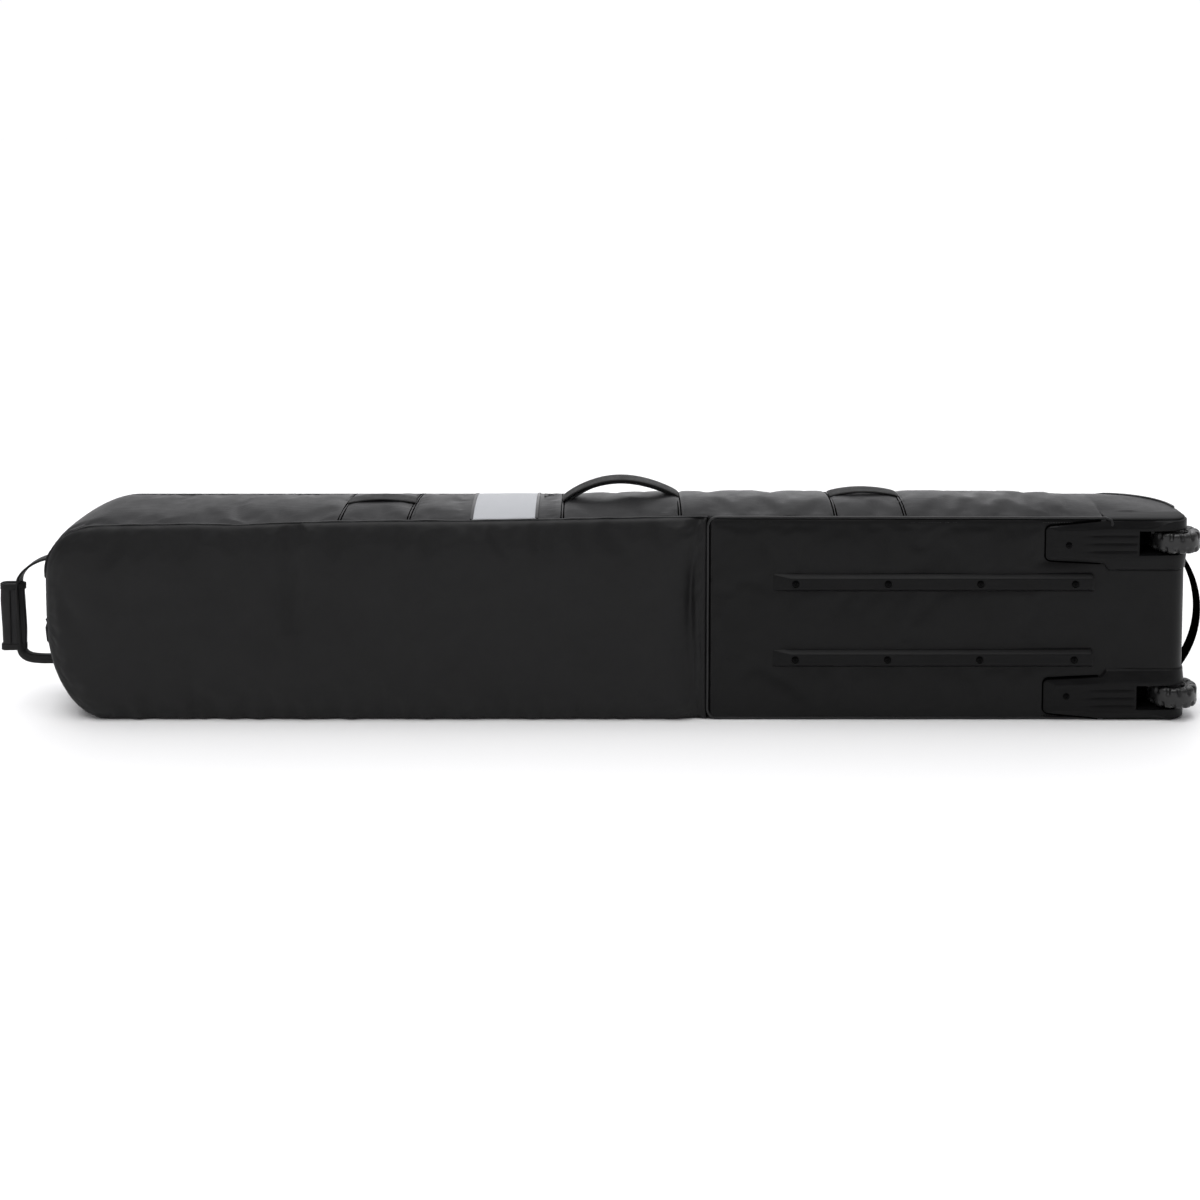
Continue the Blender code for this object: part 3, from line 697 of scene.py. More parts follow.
def walk_outline(near=False, inset=0.0, upper_end=TAIL, lower_end=TAIL, spacing=0.0065,
                 corner=24):
    """Points (x, z) and outward normals round the bag: along the upper side from the tail,
    round the nose, and back along the lower side, at the base seam or at the lid."""
    points, normals = [], []
    for x in np.linspace(upper_end, NOSE_CENTRE, int((upper_end - NOSE_CENTRE) / spacing)):
        points.append((x, (float(seam_height(x)) if near else HEIGHT) - inset))
        normals.append((0.0, 1.0))
    top = float(seam_height(NOSE_CENTRE)) if near else HEIGHT
    high_z, low_z = (NOSE_HIGH, NOSE_LOW) if near else (HEIGHT - NOSE_RADIUS, NOSE_RADIUS)
    power = 2 / CORNER_FULLNESS if near else 1.0
    for k in range(1, corner + 1):
        angle = math.radians(90 * k / corner)
        c, s = math.sin(angle) ** power, abs(math.cos(angle)) ** power
        points.append((NOSE_CENTRE - (NOSE_RADIUS - inset) * c,
                       high_z + (top - high_z - inset) * s))
        normals.append((-math.sin(angle), math.cos(angle)))
    for z in np.linspace(high_z, low_z, 12)[1:-1]:
        points.append((NOSE + inset, z))
        normals.append((-1.0, 0.0))
    radius = LOW_RADIUS if near else NOSE_RADIUS
    for k in range(corner + 1):
        angle = math.radians(90 * k / corner)
        c, s = math.cos(angle), math.sin(angle)
        points.append((NOSE + radius - (radius - inset) * c, low_z - (low_z - inset) * s))
        normals.append((-c, -s))
    count = int((lower_end - NOSE_CENTRE) / spacing)
    for x in np.linspace(NOSE + radius, lower_end, count)[1:]:
        points.append((x, inset))
        normals.append((0.0, -1.0))
    return np.array(points), np.array(normals)


NEAR_OUTLINE = walk_outline(near=True, upper_end=0.84, lower_end=0.84, spacing=0.012, corner=14)[0]
UPPER_SEAMS = (-0.397, -0.297, -0.079, 0.091, 0.316, 0.416)


def tail_profile(heel_steps=8, shoulder_steps=18):
    """Points (x, y) and outward normals: along the base to the heel, up the tail, over the
    rounded shoulder to the lid."""
    flat = [(x, BASE) for x in np.linspace(PROFILE_START, HEEL_X, 8)[:-1]]
    wall = [(TAIL, y) for y in np.linspace(BASE + HEEL_RADIUS, FRONT - LID_RADIUS, 10)[1:-1]]
    points = flat + arc((HEEL_X, BASE + HEEL_RADIUS), HEEL_RADIUS, -90, 0, heel_steps)
    points += wall + arc((LID_TAIL, FRONT - LID_RADIUS), LID_RADIUS, 0, 90, shoulder_steps)
    normals = [(0.0, -1.0)] * len(flat) + arc((0, 0), 1, -90, 0, heel_steps)
    normals += [(1.0, 0.0)] * len(wall) + arc((0, 0), 1, 0, 90, shoulder_steps)
    return np.array(points), np.array(normals)


# ---- cloth -------------------------------------------------------------------------------
def settle(piece, held, cap, pressure=1.2, slack=0.012, frames=18):
    """Cloth simulation of a sewn panel: its seams are held, it is cut a little large, and
    it is blown out gently, so it wrinkles as sewn cloth does. Movement is capped."""
    scene = bpy.context.scene
    rest = positions(piece).T.ravel()
    group = piece.vertex_groups.new(name="held")
    for index, weight in enumerate(held):
        if weight > 0:
            group.add([index], float(weight), "REPLACE")
    cloth = piece.modifiers.new("cloth", "CLOTH")
    cloth.settings.quality = 6
    cloth.settings.mass = 0.25
    cloth.settings.tension_stiffness = 25
    cloth.settings.compression_stiffness = 25
    cloth.settings.bending_stiffness = 1.5
    cloth.settings.vertex_group_mass = "held"
    cloth.settings.use_pressure = True
    cloth.settings.uniform_pressure_force = pressure
    cloth.settings.shrink_min = -slack
    cloth.settings.effector_weights.gravity = 0.0
    cloth.collision_settings.use_collision = False
    cloth.point_cache.frame_start = 1
    cloth.point_cache.frame_end = frames
    for number in range(1, frames + 1):
        scene.frame_set(number)
    graph = bpy.context.evaluated_depsgraph_get()
    moved = piece.evaluated_get(graph).to_mesh()
    after = np.empty(len(moved.vertices) * 3)
    moved.vertices.foreach_get("co", after)
    step = (after - rest).reshape(-1, 3)
    length = np.linalg.norm(step, axis=1, keepdims=True)
    step *= np.minimum(1.0, cap / np.maximum(length, 1e-9))
    piece.modifiers.clear()
    scene.frame_set(1)
    piece.data.vertices.foreach_set("co", rest + step.ravel())
    piece.data.update()
    print(f"settled {piece.name}: moved up to {length.max() * 1000:.1f} mm")
    return piece


# creases of the nose half: both ends (x, z), half width, depth (a ridge where it is negative)
NOSE_CREASES = (
    ((-0.466, 0.300), (-0.472, 0.130), 0.0130, 0.0080),
    ((-0.462, 0.288), (-0.446, 0.262), 0.0035, 0.0026),
    ((-0.455, 0.290), (-0.440, 0.275), 0.0040, -0.0014),
    ((-0.470, 0.290), (-0.500, 0.250), 0.0050, 0.0022),
    ((-0.812, 0.215), (-0.782, 0.145), 0.0110, 0.0017),
    ((-0.800, 0.185), (-0.750, 0.100), 0.0160, 0.0012),
    ((-0.02, 0.290), (0.02, 0.230), 0.016, 0.0018),
    ((0.03, 0.060), (0.09, 0.010), 0.012, 0.0020),
    ((-0.62, 0.045), (-0.56, 0.008), 0.012, 0.0016),
)
TAIL_CREASES = (
    ((0.190, 0.090), (0.300, 0.020), 0.011, 0.0030),
    ((0.150, 0.280), (0.144, 0.150), 0.012, 0.0018),
    ((0.60, 0.233), (0.675, 0.233), 0.006, 0.0022),
)


def base_nose_height(x, z):
    """How far the nose half of the base stands out of its seam plane: padded, dented where
    it folds, and gathered along its lower edge."""
    edge = np.minimum(edge_distance(x, z), SEAM_X - x)
    height = 0.0065 * shoulder(edge, 0.016) + 0.0070 * shoulder(edge, 0.085)
    fold_x = SEAM_X - 0.011 - 0.013 * (1 - ((z - MID) / MID) ** 2)
    across = x - fold_x
    deep = 0.55 + 0.45 * np.exp(-((z - 0.190) / 0.060) ** 2)
    height -= 0.0125 * deep * np.exp(-(across / np.where(across < 0, 0.014, 0.0070)) ** 2)
    height += 0.0016 * np.exp(-((x - fold_x + 0.030) / 0.014) ** 2) * shoulder(edge, 0.03)
    for start, end, width, depth in NOSE_CREASES:
        height -= valley(x, z, start, end, width, depth)
    gather = np.exp(-z / 0.020) * shoulder(z, 0.004)
    height += 0.0026 * gather * wave(x, z * 0.15, 0.022, 3.0)
    top = outline_span(x)[1] - z
    ruffle = np.exp(-top / 0.014) * shoulder(top, 0.004)
    height += 0.0024 * ruffle * wave(x, z * 0.2, 0.026, 7.0)
    height += 0.0018 * wave(x, z, 0.17, 1.0) * shoulder(edge, 0.06)
    height += 0.0006 * wave(x, z, 0.05, 2.0) * shoulder(edge, 0.03)
    return height


def base_nose():
    near = NOSE_CENTRE - NOSE_RADIUS * np.cos(np.linspace(0.0, math.pi / 2, 26))
    far = np.linspace(NOSE_CENTRE, SEAM_X - 0.030, 150)[1:]
    last = np.linspace(SEAM_X - 0.030, SEAM_X - 0.0006, 18)[1:]
    columns = np.concatenate([near, far, last])
    rows = eased(67, 0.6)
    x = spread_out(columns, len(rows))
    low, high = outline_span(x)
    z = low + (high - low) * rows[None, :]
    y = SEAM_Y - base_nose_height(x, z)
    piece = grid_piece("base_nose_cloth", x, y, z, CLOTH_FINISH)
    px, _, pz = positions(piece)
    edge = np.minimum(edge_distance(px, pz), SEAM_X - px)
    settle(piece, np.clip(SEWN - edge / 0.012, 0, 1), 0.0035)
    thicken(piece)
    fit(piece, "bag", "coated_cloth", "base_panel_nose")


def base_tail():
    """The tougher tail half of the base, which wraps over the heel and up the tail."""
    flat = np.linspace(SEAM_X + 0.0006, 0.68, 100)
    profile, normals = tail_profile()
    upto = [i for i, (_, y) in enumerate(profile) if y < WRAP_END - 0.004]
    points = np.concatenate([[(x, BASE) for x in flat], profile[upto], [(TAIL, WRAP_END)]])
    normals = np.concatenate([[(0.0, -1.0) for _ in flat], normals[upto], [(1.0, 0.0)]])
    x = spread_out(points[:, 0], 61)
    y = spread_out(points[:, 1], 61)
    top = seam_height(x)
    z = eased(61, 0.6)[None, :] * top
    edge = np.minimum(np.minimum(z, top - z), x - SEAM_X)
    height = 0.0050 * shoulder(edge, 0.009) - 0.0045
    height += 0.0022 * shoulder(edge, 0.07) * np.clip((0.66 - x) / 0.10, 0, 1)
    for start, end, width, depth in TAIL_CREASES:
        height -= valley(x, z, start, end, width, depth)
    height += 0.0009 * wave(x, z, 0.13, 5.0) * shoulder(edge, 0.05) * (x < 0.70)
    offset = np.abs(z - MID)
    beside = np.maximum(np.maximum(0.0875 - offset, offset - 0.143), 0.0)
    tongue = np.hypot(beside, np.maximum(0.620 - x, 0.0))
    height -= 0.0021 * np.exp(-(tongue / 0.0050) ** 2)
    height = np.where(x > 0.70, np.minimum(height, 0.0), height)
    x = x + normals[:, 0][:, None] * height
    y = y + normals[:, 1][:, None] * height
    middle_x = (x[:-1, :-1] + x[1:, 1:]) / 2
    middle_z = (z[:-1, :-1] + z[1:, 1:]) / 2
    under = (middle_x > HOUSING_START + 0.008) & (np.abs(middle_z - MID) > 0.0745)
    piece = grid_piece("base_tail_cloth", x, y, z, TARPAULIN, keep=~under)
    px, _, pz = positions(piece)
    edge = np.minimum(np.minimum(pz, HEIGHT - pz), px - SEAM_X)
    held = np.maximum(np.clip(SEWN - edge / 0.012, 0, 1), np.clip((px - 0.60) / 0.05, 0, 1))
    rails = (np.abs(np.abs(pz - MID) - 0.0555) < 0.014) & (px > 0.22) & (px < 0.70)
    held = np.maximum(held, rails * 1.0)
    settle(piece, held, 0.0018, pressure=0.5, slack=0.006)
    thicken(piece)
    fit(piece, "bag", "tarpaulin", "base_panel_tail")


def side_wall_puff(x, share, upper, lower):
    """How far the side wall stands out between its two long seams: crowned on the upper
    side, pinched at each cross seam, flat where the bag stands."""
    across = 1 - np.abs(2 * share - 1) ** 2.5
    height = np.where(lower, 0.0, np.where(upper, crown(x), 0.0055)) * across
    for seam in UPPER_SEAMS:
        groove = 0.7 * np.exp(-((x - seam) / 0.0028) ** 2)
        groove += 0.5 * np.exp(-((x - seam) / 0.016) ** 2)
        height = height - np.where(upper, 0.0017 * groove, 0.0) * across
    ripple = wave(x, share * 0.10, 0.045, 11.0)
    near_seam = np.exp(-share / 0.15) + 0.5 * np.exp(-(1 - share) / 0.10)
    height = height + np.where(lower, 0.0, 0.0020 * ripple * near_seam * shoulder(share, 0.06))
    slow = wave(x, share * 0.14, 0.13, 13.0)
    height = height + np.where(upper, 0.0012 * slow * across, 0.0)
    tucked = np.exp(-((x - 0.695) / 0.030) ** 2) * np.exp(-share / 0.22)
    height = height - np.where(upper, 0.0035 * tucked * shoulder(share, 0.1), 0.0)
    return height


def side_wall():
    """The long wall of cloth round the bag: upper side, nose and lower side in one strip."""
    near, normals = walk_outline(near=True)
    far, _ = walk_outline()
    share = eased(31, 0.5)
    shares = np.repeat(share[None, :], len(near), axis=0)
    s_x = near[:, 0][:, None] * (1 - shares) + far[:, 0][:, None] * shares
    s_z = near[:, 1][:, None] * (1 - shares) + far[:, 1][:, None] * shares
    under = np.clip((s_x - HOUSING_START + 0.004) / 0.004, 0, 1)
    start = SEAM_Y + 0.0002 + under * 0.034
    beyond = np.clip(s_x - LID_TAIL, 0, LID_RADIUS - 0.0005)
    end = FRONT - LID_RADIUS + np.sqrt(LID_RADIUS ** 2 - beyond ** 2) - 0.0012
    y = start + (end - start) * shares
    upper = np.repeat((normals[:, 1] > 0.99)[:, None], len(share), axis=1)
    lower = np.repeat((normals[:, 1] < -0.7)[:, None], len(share), axis=1)
    turn = np.clip((s_x - NOSE_CENTRE) / 0.08, 0, 1)
    height = side_wall_puff(s_x, shares, upper & (turn > 0), lower)
    nose_height = side_wall_puff(s_x, shares, upper & False, lower)
    height = np.where(upper, nose_height * (1 - turn) + height * turn, height)
    height = height * np.clip((TAIL + 0.01 - s_x) / 0.08, 0.1, 1)
    x = s_x + normals[:, 0][:, None] * height
    z = np.maximum(s_z + normals[:, 1][:, None] * height, 0.0003)
    piece = grid_piece("side_cloth", x, y, z, WALL_FINISH, flip=True)
    px, py, pz = positions(piece)
    edge = np.minimum(py - SEAM_Y, FRONT - py)
    for seam in UPPER_SEAMS:
        edge = np.where(pz > HEIGHT - 0.012, np.minimum(edge, np.abs(px - seam) * 1.5), edge)
    held = np.clip(SEWN - edge / 0.008, 0, 1)
    held = np.maximum(held, np.clip((px - 0.64) / 0.05, 0, 1))
    held = np.maximum(held, (pz < 0.012) * 1.0)
    low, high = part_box("id_window")                   # the window keeps the cloth under it flat
    beside = np.maximum(low.x - px, px - high.x)
    held = np.maximum(held, np.clip(1.3 - beside / 0.02, 0, 1) * (pz > HEIGHT - 0.02))
    settle(piece, held, 0.0022, pressure=0.8, slack=0.010)
    thicken(piece)
    fit(piece, "bag", "coated_cloth", "gusset_upper_nose", "gusset_upper_grip",
        "gusset_upper_middle", "gusset_upper_tail", "gusset_nose", "gusset_lower")


def tail_wall():
    """The tail's end wall, from above the housings over the shoulder to the zip border."""
    profile, normals = tail_profile()
    keep = [i for i, (_, y) in enumerate(profile) if y > WRAP_END]
    points = np.concatenate([[(TAIL, WRAP_END)], profile[keep]])
    normals = np.concatenate([[(1.0, 0.0)], normals[keep]])
    rows = 0.0012 + eased(49, 0.5) * (HEIGHT - 0.0024)
    x = spread_out(points[:, 0], len(rows))
    y = spread_out(points[:, 1], len(rows))
    z = np.repeat(rows[None, :], len(points), axis=0)
    edge = np.minimum(z, HEIGHT - z)
    along = np.linspace(0, 1, len(points))[:, None]
    height = 0.0042 * shoulder(edge, 0.02) * np.sin(math.pi * np.clip(along * 1.02, 0, 1)) ** 0.5
    height = height - 0.0012 + 0.0008 * wave(along * 0.15 + 0 * z, z, 0.05, 9.0)
    height = np.where(y < -0.010, np.minimum(height, 0.0006), height)
    x = x + normals[:, 0][:, None] * height
    y = y + normals[:, 1][:, None] * height
    middle_y = (y[:-1, :-1] + y[1:, 1:]) / 2
    middle_z = np.abs((z[:-1, :-1] + z[1:, 1:]) / 2 - MID)
    hole = (middle_y < -0.0160) & (middle_z > 0.0905) & (middle_z < 0.1365)
    piece = grid_piece("tail_cloth", x, y, z, CLOTH_FINISH, keep=~hole)
    thicken(piece)
    fit(piece, "bag", "coated_cloth", "tail_wall")


def upper_side(x, y):
    """Height of the upper side's cloth at a place."""
    share = np.clip((np.asarray(y) - SEAM_Y) / (FRONT - 0.0012 - SEAM_Y), 0, 1)
    base = seam_height(x) * (1 - share) + HEIGHT * share
    flag = np.ones_like(share, dtype=bool)
    return base + side_wall_puff(np.asarray(x) + 0 * share, share, flag, ~flag)


def bindings():
    """Piping and seam ridges along the bag's edges."""
    pieces = []
    ridge, _ = walk_outline(near=True, upper_end=SEAM_X, lower_end=SEAM_X, spacing=0.008)
    path = []
    for x, z in ridge:
        shake = 0.0009 * noise.noise(Vector((x * 32, z * 32, 2.0)))
        path.append((x, SEAM_Y + 0.0003 + shake, max(z + shake, 0.0013)))
    pieces.append(sweep("seam_ridge", path, round_section(0.0012, 8), (0, 1, 0), PIPING))

    # piping round the tail half, with rounded corners at the cross seam
    corner = 0.014
    top, bottom = 0.0004, 0.0026
    run = np.linspace(0.69, SEAM_X + corner + 0.01, 60)
    ends = np.linspace(HEIGHT - corner - 0.006, bottom + corner + 0.006, 26)
    upper = [(HOUSING_START - 0.002, top)] + [(x, top) for x in run]
    upper += arc((SEAM_X + corner, top - corner), corner, 90, 180, 8)
    track = upper + [(SEAM_X, z) for z in ends]
    track += arc((SEAM_X + corner, bottom + corner), corner, 180, 270, 8)
    track += [(x, bottom) for x in run[::-1]] + [(HOUSING_START - 0.002, bottom)]
    path = []
    for index, (x, z) in enumerate(track):
        if index < len(upper):
            z = float(seam_height(max(x, SEAM_X + 0.001))) + z
        inside = min(float(seam_height(x)) - z, z, 0.012)
        y = BASE + 0.0010 - 0.0018 * min(inside / 0.012, 1.0)
        path.append((x, y + 0.0003 * noise.noise(Vector((x * 20, z * 20, 4.0))), z))
    # the upper run ends in a cut stub that curls on to the housing
    stub = [(HOUSING_START + 0.0055, BASE - 0.0042, path[0][2] - 0.0105),
            (HOUSING_START + 0.0068, BASE - 0.0035, path[0][2] - 0.0070),
            (HOUSING_START + 0.0058, BASE - 0.0015, path[0][2] - 0.0025)]
    pieces.append(sweep("base_piping", stub + path, round_section(0.0019, 10), (0, 1, 0), PIPING))

    # piping between the side wall and the lid's border, and over both tail shoulders
    edge, _ = walk_outline(inset=0.0009, upper_end=LID_TAIL, lower_end=LID_TAIL, spacing=0.012)
    path = [(x, FRONT - 0.0004, max(z, 0.0021)) for x, z in edge]
    profile, _ = tail_profile()
    over = [(x, y) for x, y in profile if y > -0.028]
    above = [(x, y, HEIGHT + 0.0004) for x, y in over]
    below = [(x, y, 0.0021) for x, y in reversed(over)]
    path = above + path[1:-1] + below
    pieces.append(sweep("lid_piping", path, round_section(0.0021, 8), (0, 1, 0), PIPING))
    for piece in pieces:
        fit(piece, "bag", "coated_cloth")


def window():
    """The grey cloth window on the upper side, bound with dark tape."""
    low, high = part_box("id_window")
    columns = np.linspace(low.x, high.x, 25)
    rows = np.linspace(BASE + 0.0050, FRONT - 0.0025, 33)
    x, y = np.meshgrid(columns, rows, indexing="ij")
    z = upper_side(x, y) + 0.0013
    piece = grid_piece("window_cloth", x, y, z, GREY)
    piece = thicken(piece, 0.0009)
    fit(piece, "bag", "grey_window", "id_window")
    tapes = []
    for edge_x in (low.x, high.x):
        path = [(edge_x, yy, float(upper_side(edge_x, yy)) + 0.0016) for yy in rows]
        tapes.append(sweep("tape", path, strap_section(0.0042, 0.0014), (1, 0, 0), PIPING))
    tape = joined("window_binding", tapes)
    fit(tape, "bag", "coated_cloth")


def cross_seam_stitching():
    """At each cross seam a pair of dark cords, painted shade standing in for the sunken seam lines,
    with topstitching beside them; and the base's rows.
    """
    rows = np.linspace(BASE + 0.007, FRONT - 0.004, 30)
    paths, seam_shades = [], []
    for index, seam in enumerate(UPPER_SEAMS):
        lean = 0.0045 if index < 2 else 0.0
        for shift in (-0.0019, 0.0019):
            path = [(seam + shift + lean * (y / FRONT), y,
                     float(upper_side(seam, y)) + 0.0006) for y in rows]
            # painted shade: a near-black cord along each seam line stands in for the shadow in its
            # groove
            seam_shades.append(sweep("seam_painted_shade", path, round_section(0.0010, 6), (1, 0, 0),
                               DARK_WEBBING_AND_SHADE))
        for shift in (-0.0055, 0.0055):
            paths.append([(seam + shift + lean * (y / FRONT), y,
                           float(upper_side(seam + shift, y)) + 0.0003) for y in rows])
    fit(joined("cross_seam_shades", seam_shades), "bag", "webbing")
    # a bow-tie bartack that holds an inner strap, beside the carry handle
    bow = ((-0.107, 0.050), (-0.107, 0.020), (-0.086, 0.044), (-0.086, 0.024), (-0.107, 0.050))
    tack = []
    for (ax, ay), (bx, by) in zip(bow, bow[1:]):
        line = [(ax + (bx - ax) * t, ay + (by - ay) * t) for t in np.linspace(0, 1, 7)]
        tack.append([(x, y, float(upper_side(x, y)) + 0.0006) for x, y in line])
    fit(stitches("cross_stitching", paths, (0, 0, 1), THREAD), "bag", "webbing")
    fit(stitches("bow_tack", tack, (0, 0, 1), THREAD, length=0.0030, pitch=0.0031,
                 radius=0.0006), "bag", "webbing")
    along = np.linspace(SEAM_X + 0.006, 0.69, 60)
    up = np.linspace(0.014, HEIGHT - 0.014, 30)
    base_y = BASE - 0.0004
    base_paths = [[(x, base_y, float(seam_height(x)) - 0.0062) for x in along],
                  [(x, base_y, 0.0065) for x in along],
                  [(SEAM_X + 0.0055, base_y, z) for z in up]]
    fit(stitches("base_stitching", base_paths, (0, -1, 0), THREAD), "bag", "webbing")


# ---- webbing -----------------------------------------------------------------------------
def arch_path(node, rise, root_y=(0.0, 0.0), power=0.75, count=37):
    """A handle's arch over the upper side, its ends tucked into the cross seams."""
    low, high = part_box(node)
    ends = [float(upper_side(x, y)) for x, y in ((low.x, root_y[0]), (high.x, root_y[1]))]
    top = high.z - 0.0016
    path = []
    for index in range(count):
        share = index / (count - 1)
        chord = ends[0] + (ends[1] - ends[0]) * share
        lift = (min(top, chord + rise) - chord) * math.sin(math.pi * share) ** power
        path.append((low.x - 0.004 + (high.x - low.x + 0.008) * share,
                     root_y[0] + (root_y[1] - root_y[0]) * share, chord + 0.0004 + lift))
    return path


def handle(node, name, width, rise, power=0.75, double=False, root_y=(0.0, 0.0)):
    path = arch_path(node, rise, root_y, power)
    piece = sweep(name, path, strap_section(width, 0.0028, crown=0.0004), (0, 1, 0), WEBBING)
    layers = [piece]
    if double:      # the strap is folded under itself, which makes the roots fuller
        middle = [(x, y, z - 0.0036 - 0.0035 * max(0, 1 - i / 8))
                  for i, (x, y, z) in enumerate(path[1:-2])]
        layers.append(sweep(name + "_under", middle, strap_section(width * 0.92, 0.0036),
                            (0, 1, 0), WEBBING))
    piece = joined(name, layers) if double else piece
    blend_on(piece, node)


def handles():
    handle("nose_lift_handle", "nose_handle_webbing", 0.036, 0.0085, power=0.9,
           root_y=(0.008, 0.008))
    handle("tail_lift_handle", "tail_handle_webbing", 0.034, 0.0105, power=0.7,
           root_y=(0.010, 0.010))
    handle("carry_handle", "carry_handle_webbing", 0.036, 0.040, power=0.8,
           double=True, root_y=(0.006, 0.010))


def grip_outline(angle, half_x, half_y):
    """The wrapped grip's section: nearly square, and thinner along one edge."""
    c, s = np.cos(angle), np.sin(angle)
    x = half_x * np.copysign(np.abs(c) ** 0.45, c)
    return x, half_y * np.copysign(np.abs(s) ** 0.6, s) * (1.0 - 0.35 * (c > 0.55))


def nose_haul():
    """The nose's haul loop: flat webbing above, rolled webbing below, and a wrapped grip."""
    low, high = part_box("nose_haul_grip")
    hang = Vector((0, 0, 0.007))              # the padded wrap hangs a little on its strap
    low, high = low - hang, high - hang
    strand_x = -0.889
    anchor = NOSE - 0.0012
    control = [(NOSE + 0.014, 0, 0.2385), (NOSE + 0.003, 0, 0.2262), (anchor - 0.010, 0, 0.2205),
               (-0.855, 0, 0.2155), (-0.873, 0, 0.2055), (-0.8850, 0, 0.1930),
               (strand_x, 0, 0.180), (strand_x, 0, 0.145), (strand_x, 0, 0.115),
               (strand_x + 0.0005, 0, 0.086), (-0.8850, 0, 0.0740), (-0.8750, 0, 0.0672),
               (-0.858, 0, 0.0650), (anchor - 0.010, 0, 0.0648), (NOSE + 0.006, 0, 0.0635),
               (NOSE + 0.020, 0, 0.0560)]
    path = smooth_path(control, 6)
    sections = []
    for index in range(len(path)):
        share = index / (len(path) - 1)
        roll = min(max((share - 0.42) / 0.25, 0), 1)       # flat above, rolled below
        width = 0.026 * (1 - roll) + 0.0140 * roll
        thick = 0.0034 * (1 - roll) + 0.0128 * roll
        if share > 0.9:                                    # opens out flat where it is sewn
            open_up = (share - 0.9) / 0.1
            width += (0.026 - width) * open_up
            thick += (0.0034 - thick) * open_up
        sections.append(strap_section(width, thick, sides=6))
    piece = sweep("nose_loop_webbing", path, sections, (0, 1, 0), WEBBING)
    blend_on(piece,
             "nose_haul_loop")

    # the grip: a padded wrap round the strap, flat towards the base, with bound ends
    rows, around = 30, 26
    middle_x = (low.x + high.x) / 2
    share = np.linspace(0, 1, rows)[:, None]
    belly = 1 + 0.05 * np.sin(math.pi * share)
    angle = 2 * math.pi * np.append(np.arange(around), 0)[None, :] / around
    px, py = grip_outline(angle, 0.0172, 0.0080)
    x = middle_x + px * belly + 0.0010 * np.sin(share * 5.0 + 0.5)
    z = low.z + (high.z - low.z) * share + 0.0015 * np.cos(angle)
    y = py * belly + 0.0005 * wave(z, x, 0.018, 31.0)
    grip = grid_piece("grip_wrap", x, y, z, WALL_FINISH)
    mend(grip, 0.0004)
    grip.data.shade_smooth()
    thicken(grip, 0.0028)
    fit(grip, "nose_loop", "webbing", "nose_haul_grip")
    bands = []
    for z in (low.z + 0.0045, high.z - 0.0045):
        out_x, out_y = grip_outline(2 * math.pi * np.arange(33) / 32, 0.0180, 0.0088)
        loop = [(middle_x + x, y, z) for x, y in zip(out_x, out_y)]
        bands.append(sweep("band", loop, strap_section(0.009, 0.0012), (0, 0, 1), WEBBING))
    bands.append(cube_piece("flap", (middle_x - 0.004, -0.0108, low.z + 0.010),
                            (middle_x - 0.002, -0.0092, high.z - 0.010), WEBBING, 0.0005))
    fit(joined("grip_bindings", bands), "nose_loop", "webbing")


def haul_patches():
    """The sewn strips that the two haul loops come out of."""
    near, normals = walk_outline(near=True)
    far, _ = walk_outline()
    path = []
    for (x, z), (far_x, far_z), (out_x, out_z) in zip(near, far, normals):
        if out_x < -0.70:
            path.append(((x + far_x) / 2 + 0.0050 * out_x, 0, (z + far_z) / 2 + 0.0050 * out_z))
    piece = sweep("nose_anchor", path, strap_section(0.036, 0.0014), (0, 1, 0), WEBBING)
    fit(piece, "bag", "webbing", "nose_haul_patch")
    low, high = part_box("tail_haul_patch")
    path = [(TAIL + 0.0034, 0, z) for z in np.linspace(low.z, high.z, 20)]
    piece = sweep("tail_anchor", path, strap_section(0.032, 0.0014), (0, 1, 0), WEBBING)
    fit(piece, "bag", "webbing", "tail_haul_patch")


def tail_haul():
    low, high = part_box("tail_haul_loop")
    reach = high.x - low.x - 0.0062
    start_x = low.x + 0.0040
    half = (high.z - low.z) / 2 - 0.003
    bow = (half ** 2 + reach ** 2) / (2 * reach)
    spread = math.asin(half / bow)
    middle = (low.z + high.z) / 2
    degrees = math.degrees(spread)
    curve = arc((start_x + reach - bow, middle), bow, -degrees, degrees, 40)
    foot = 0.012
    curve = [(TAIL + 0.0050, curve[0][1] - foot), *curve, (TAIL + 0.0050, curve[-1][1] + foot)]
    path = [(x, 0, z) for x, z in curve]
    piece = sweep("tail_loop_webbing", path, strap_section(0.024, 0.0042), (0, 1, 0), DARK_WEBBING_AND_SHADE)
    blend_on(piece,
             "tail_haul_loop")


# ---- wheels, housings, rails -------------------------------------------------------------
def shape_along(x, table):
    """A value read from a few (x, value) pairs, on straight lines between them."""
    return np.interp(x, *zip(*table))


TONGUE_START, TONGUE_TOP = 0.617, 0.636     # the tongue's tip, and where its top is level
HOUSING_END = -0.013                        # y at which the moulding stops on the tail
PLATE_DEPTH = 0.0450                        # how far it wraps on to the side wall


def housing_track():
    """Points (x, y), outward normals and distance along the moulding, which lies on the base,
    turns over the heel and runs up the tail. On the flat the distance is x itself."""
    line = np.concatenate([TONGUE_START + 0.010 * np.linspace(0, 1, 12) ** 1.6,
                           np.linspace(0.629, 0.642, 7), np.linspace(0.646, 0.697, 13),
                           np.linspace(0.700, 0.713, 9), np.linspace(0.717, SLOT_START, 9),
                           np.linspace(0.757, HEEL_X, 9)[:-1]])
    points = [(x, BASE) for x in line]
    normals = [(0.0, -1.0) for _ in line]
    for (x, y), normal in zip(*tail_profile(heel_steps=10)):
        if y <= HOUSING_END and x >= HEEL_X - 1e-6:
            points.append((x, y))
            normals.append(tuple(normal))
    points.append((TAIL, HOUSING_END))
    normals.append((1.0, 0.0))
    points, normals = np.array(points), np.array(normals)
    gone = np.concatenate([[0], np.cumsum(np.hypot(*np.diff(points, axis=0).T))])
    return points, normals, TONGUE_START + gone


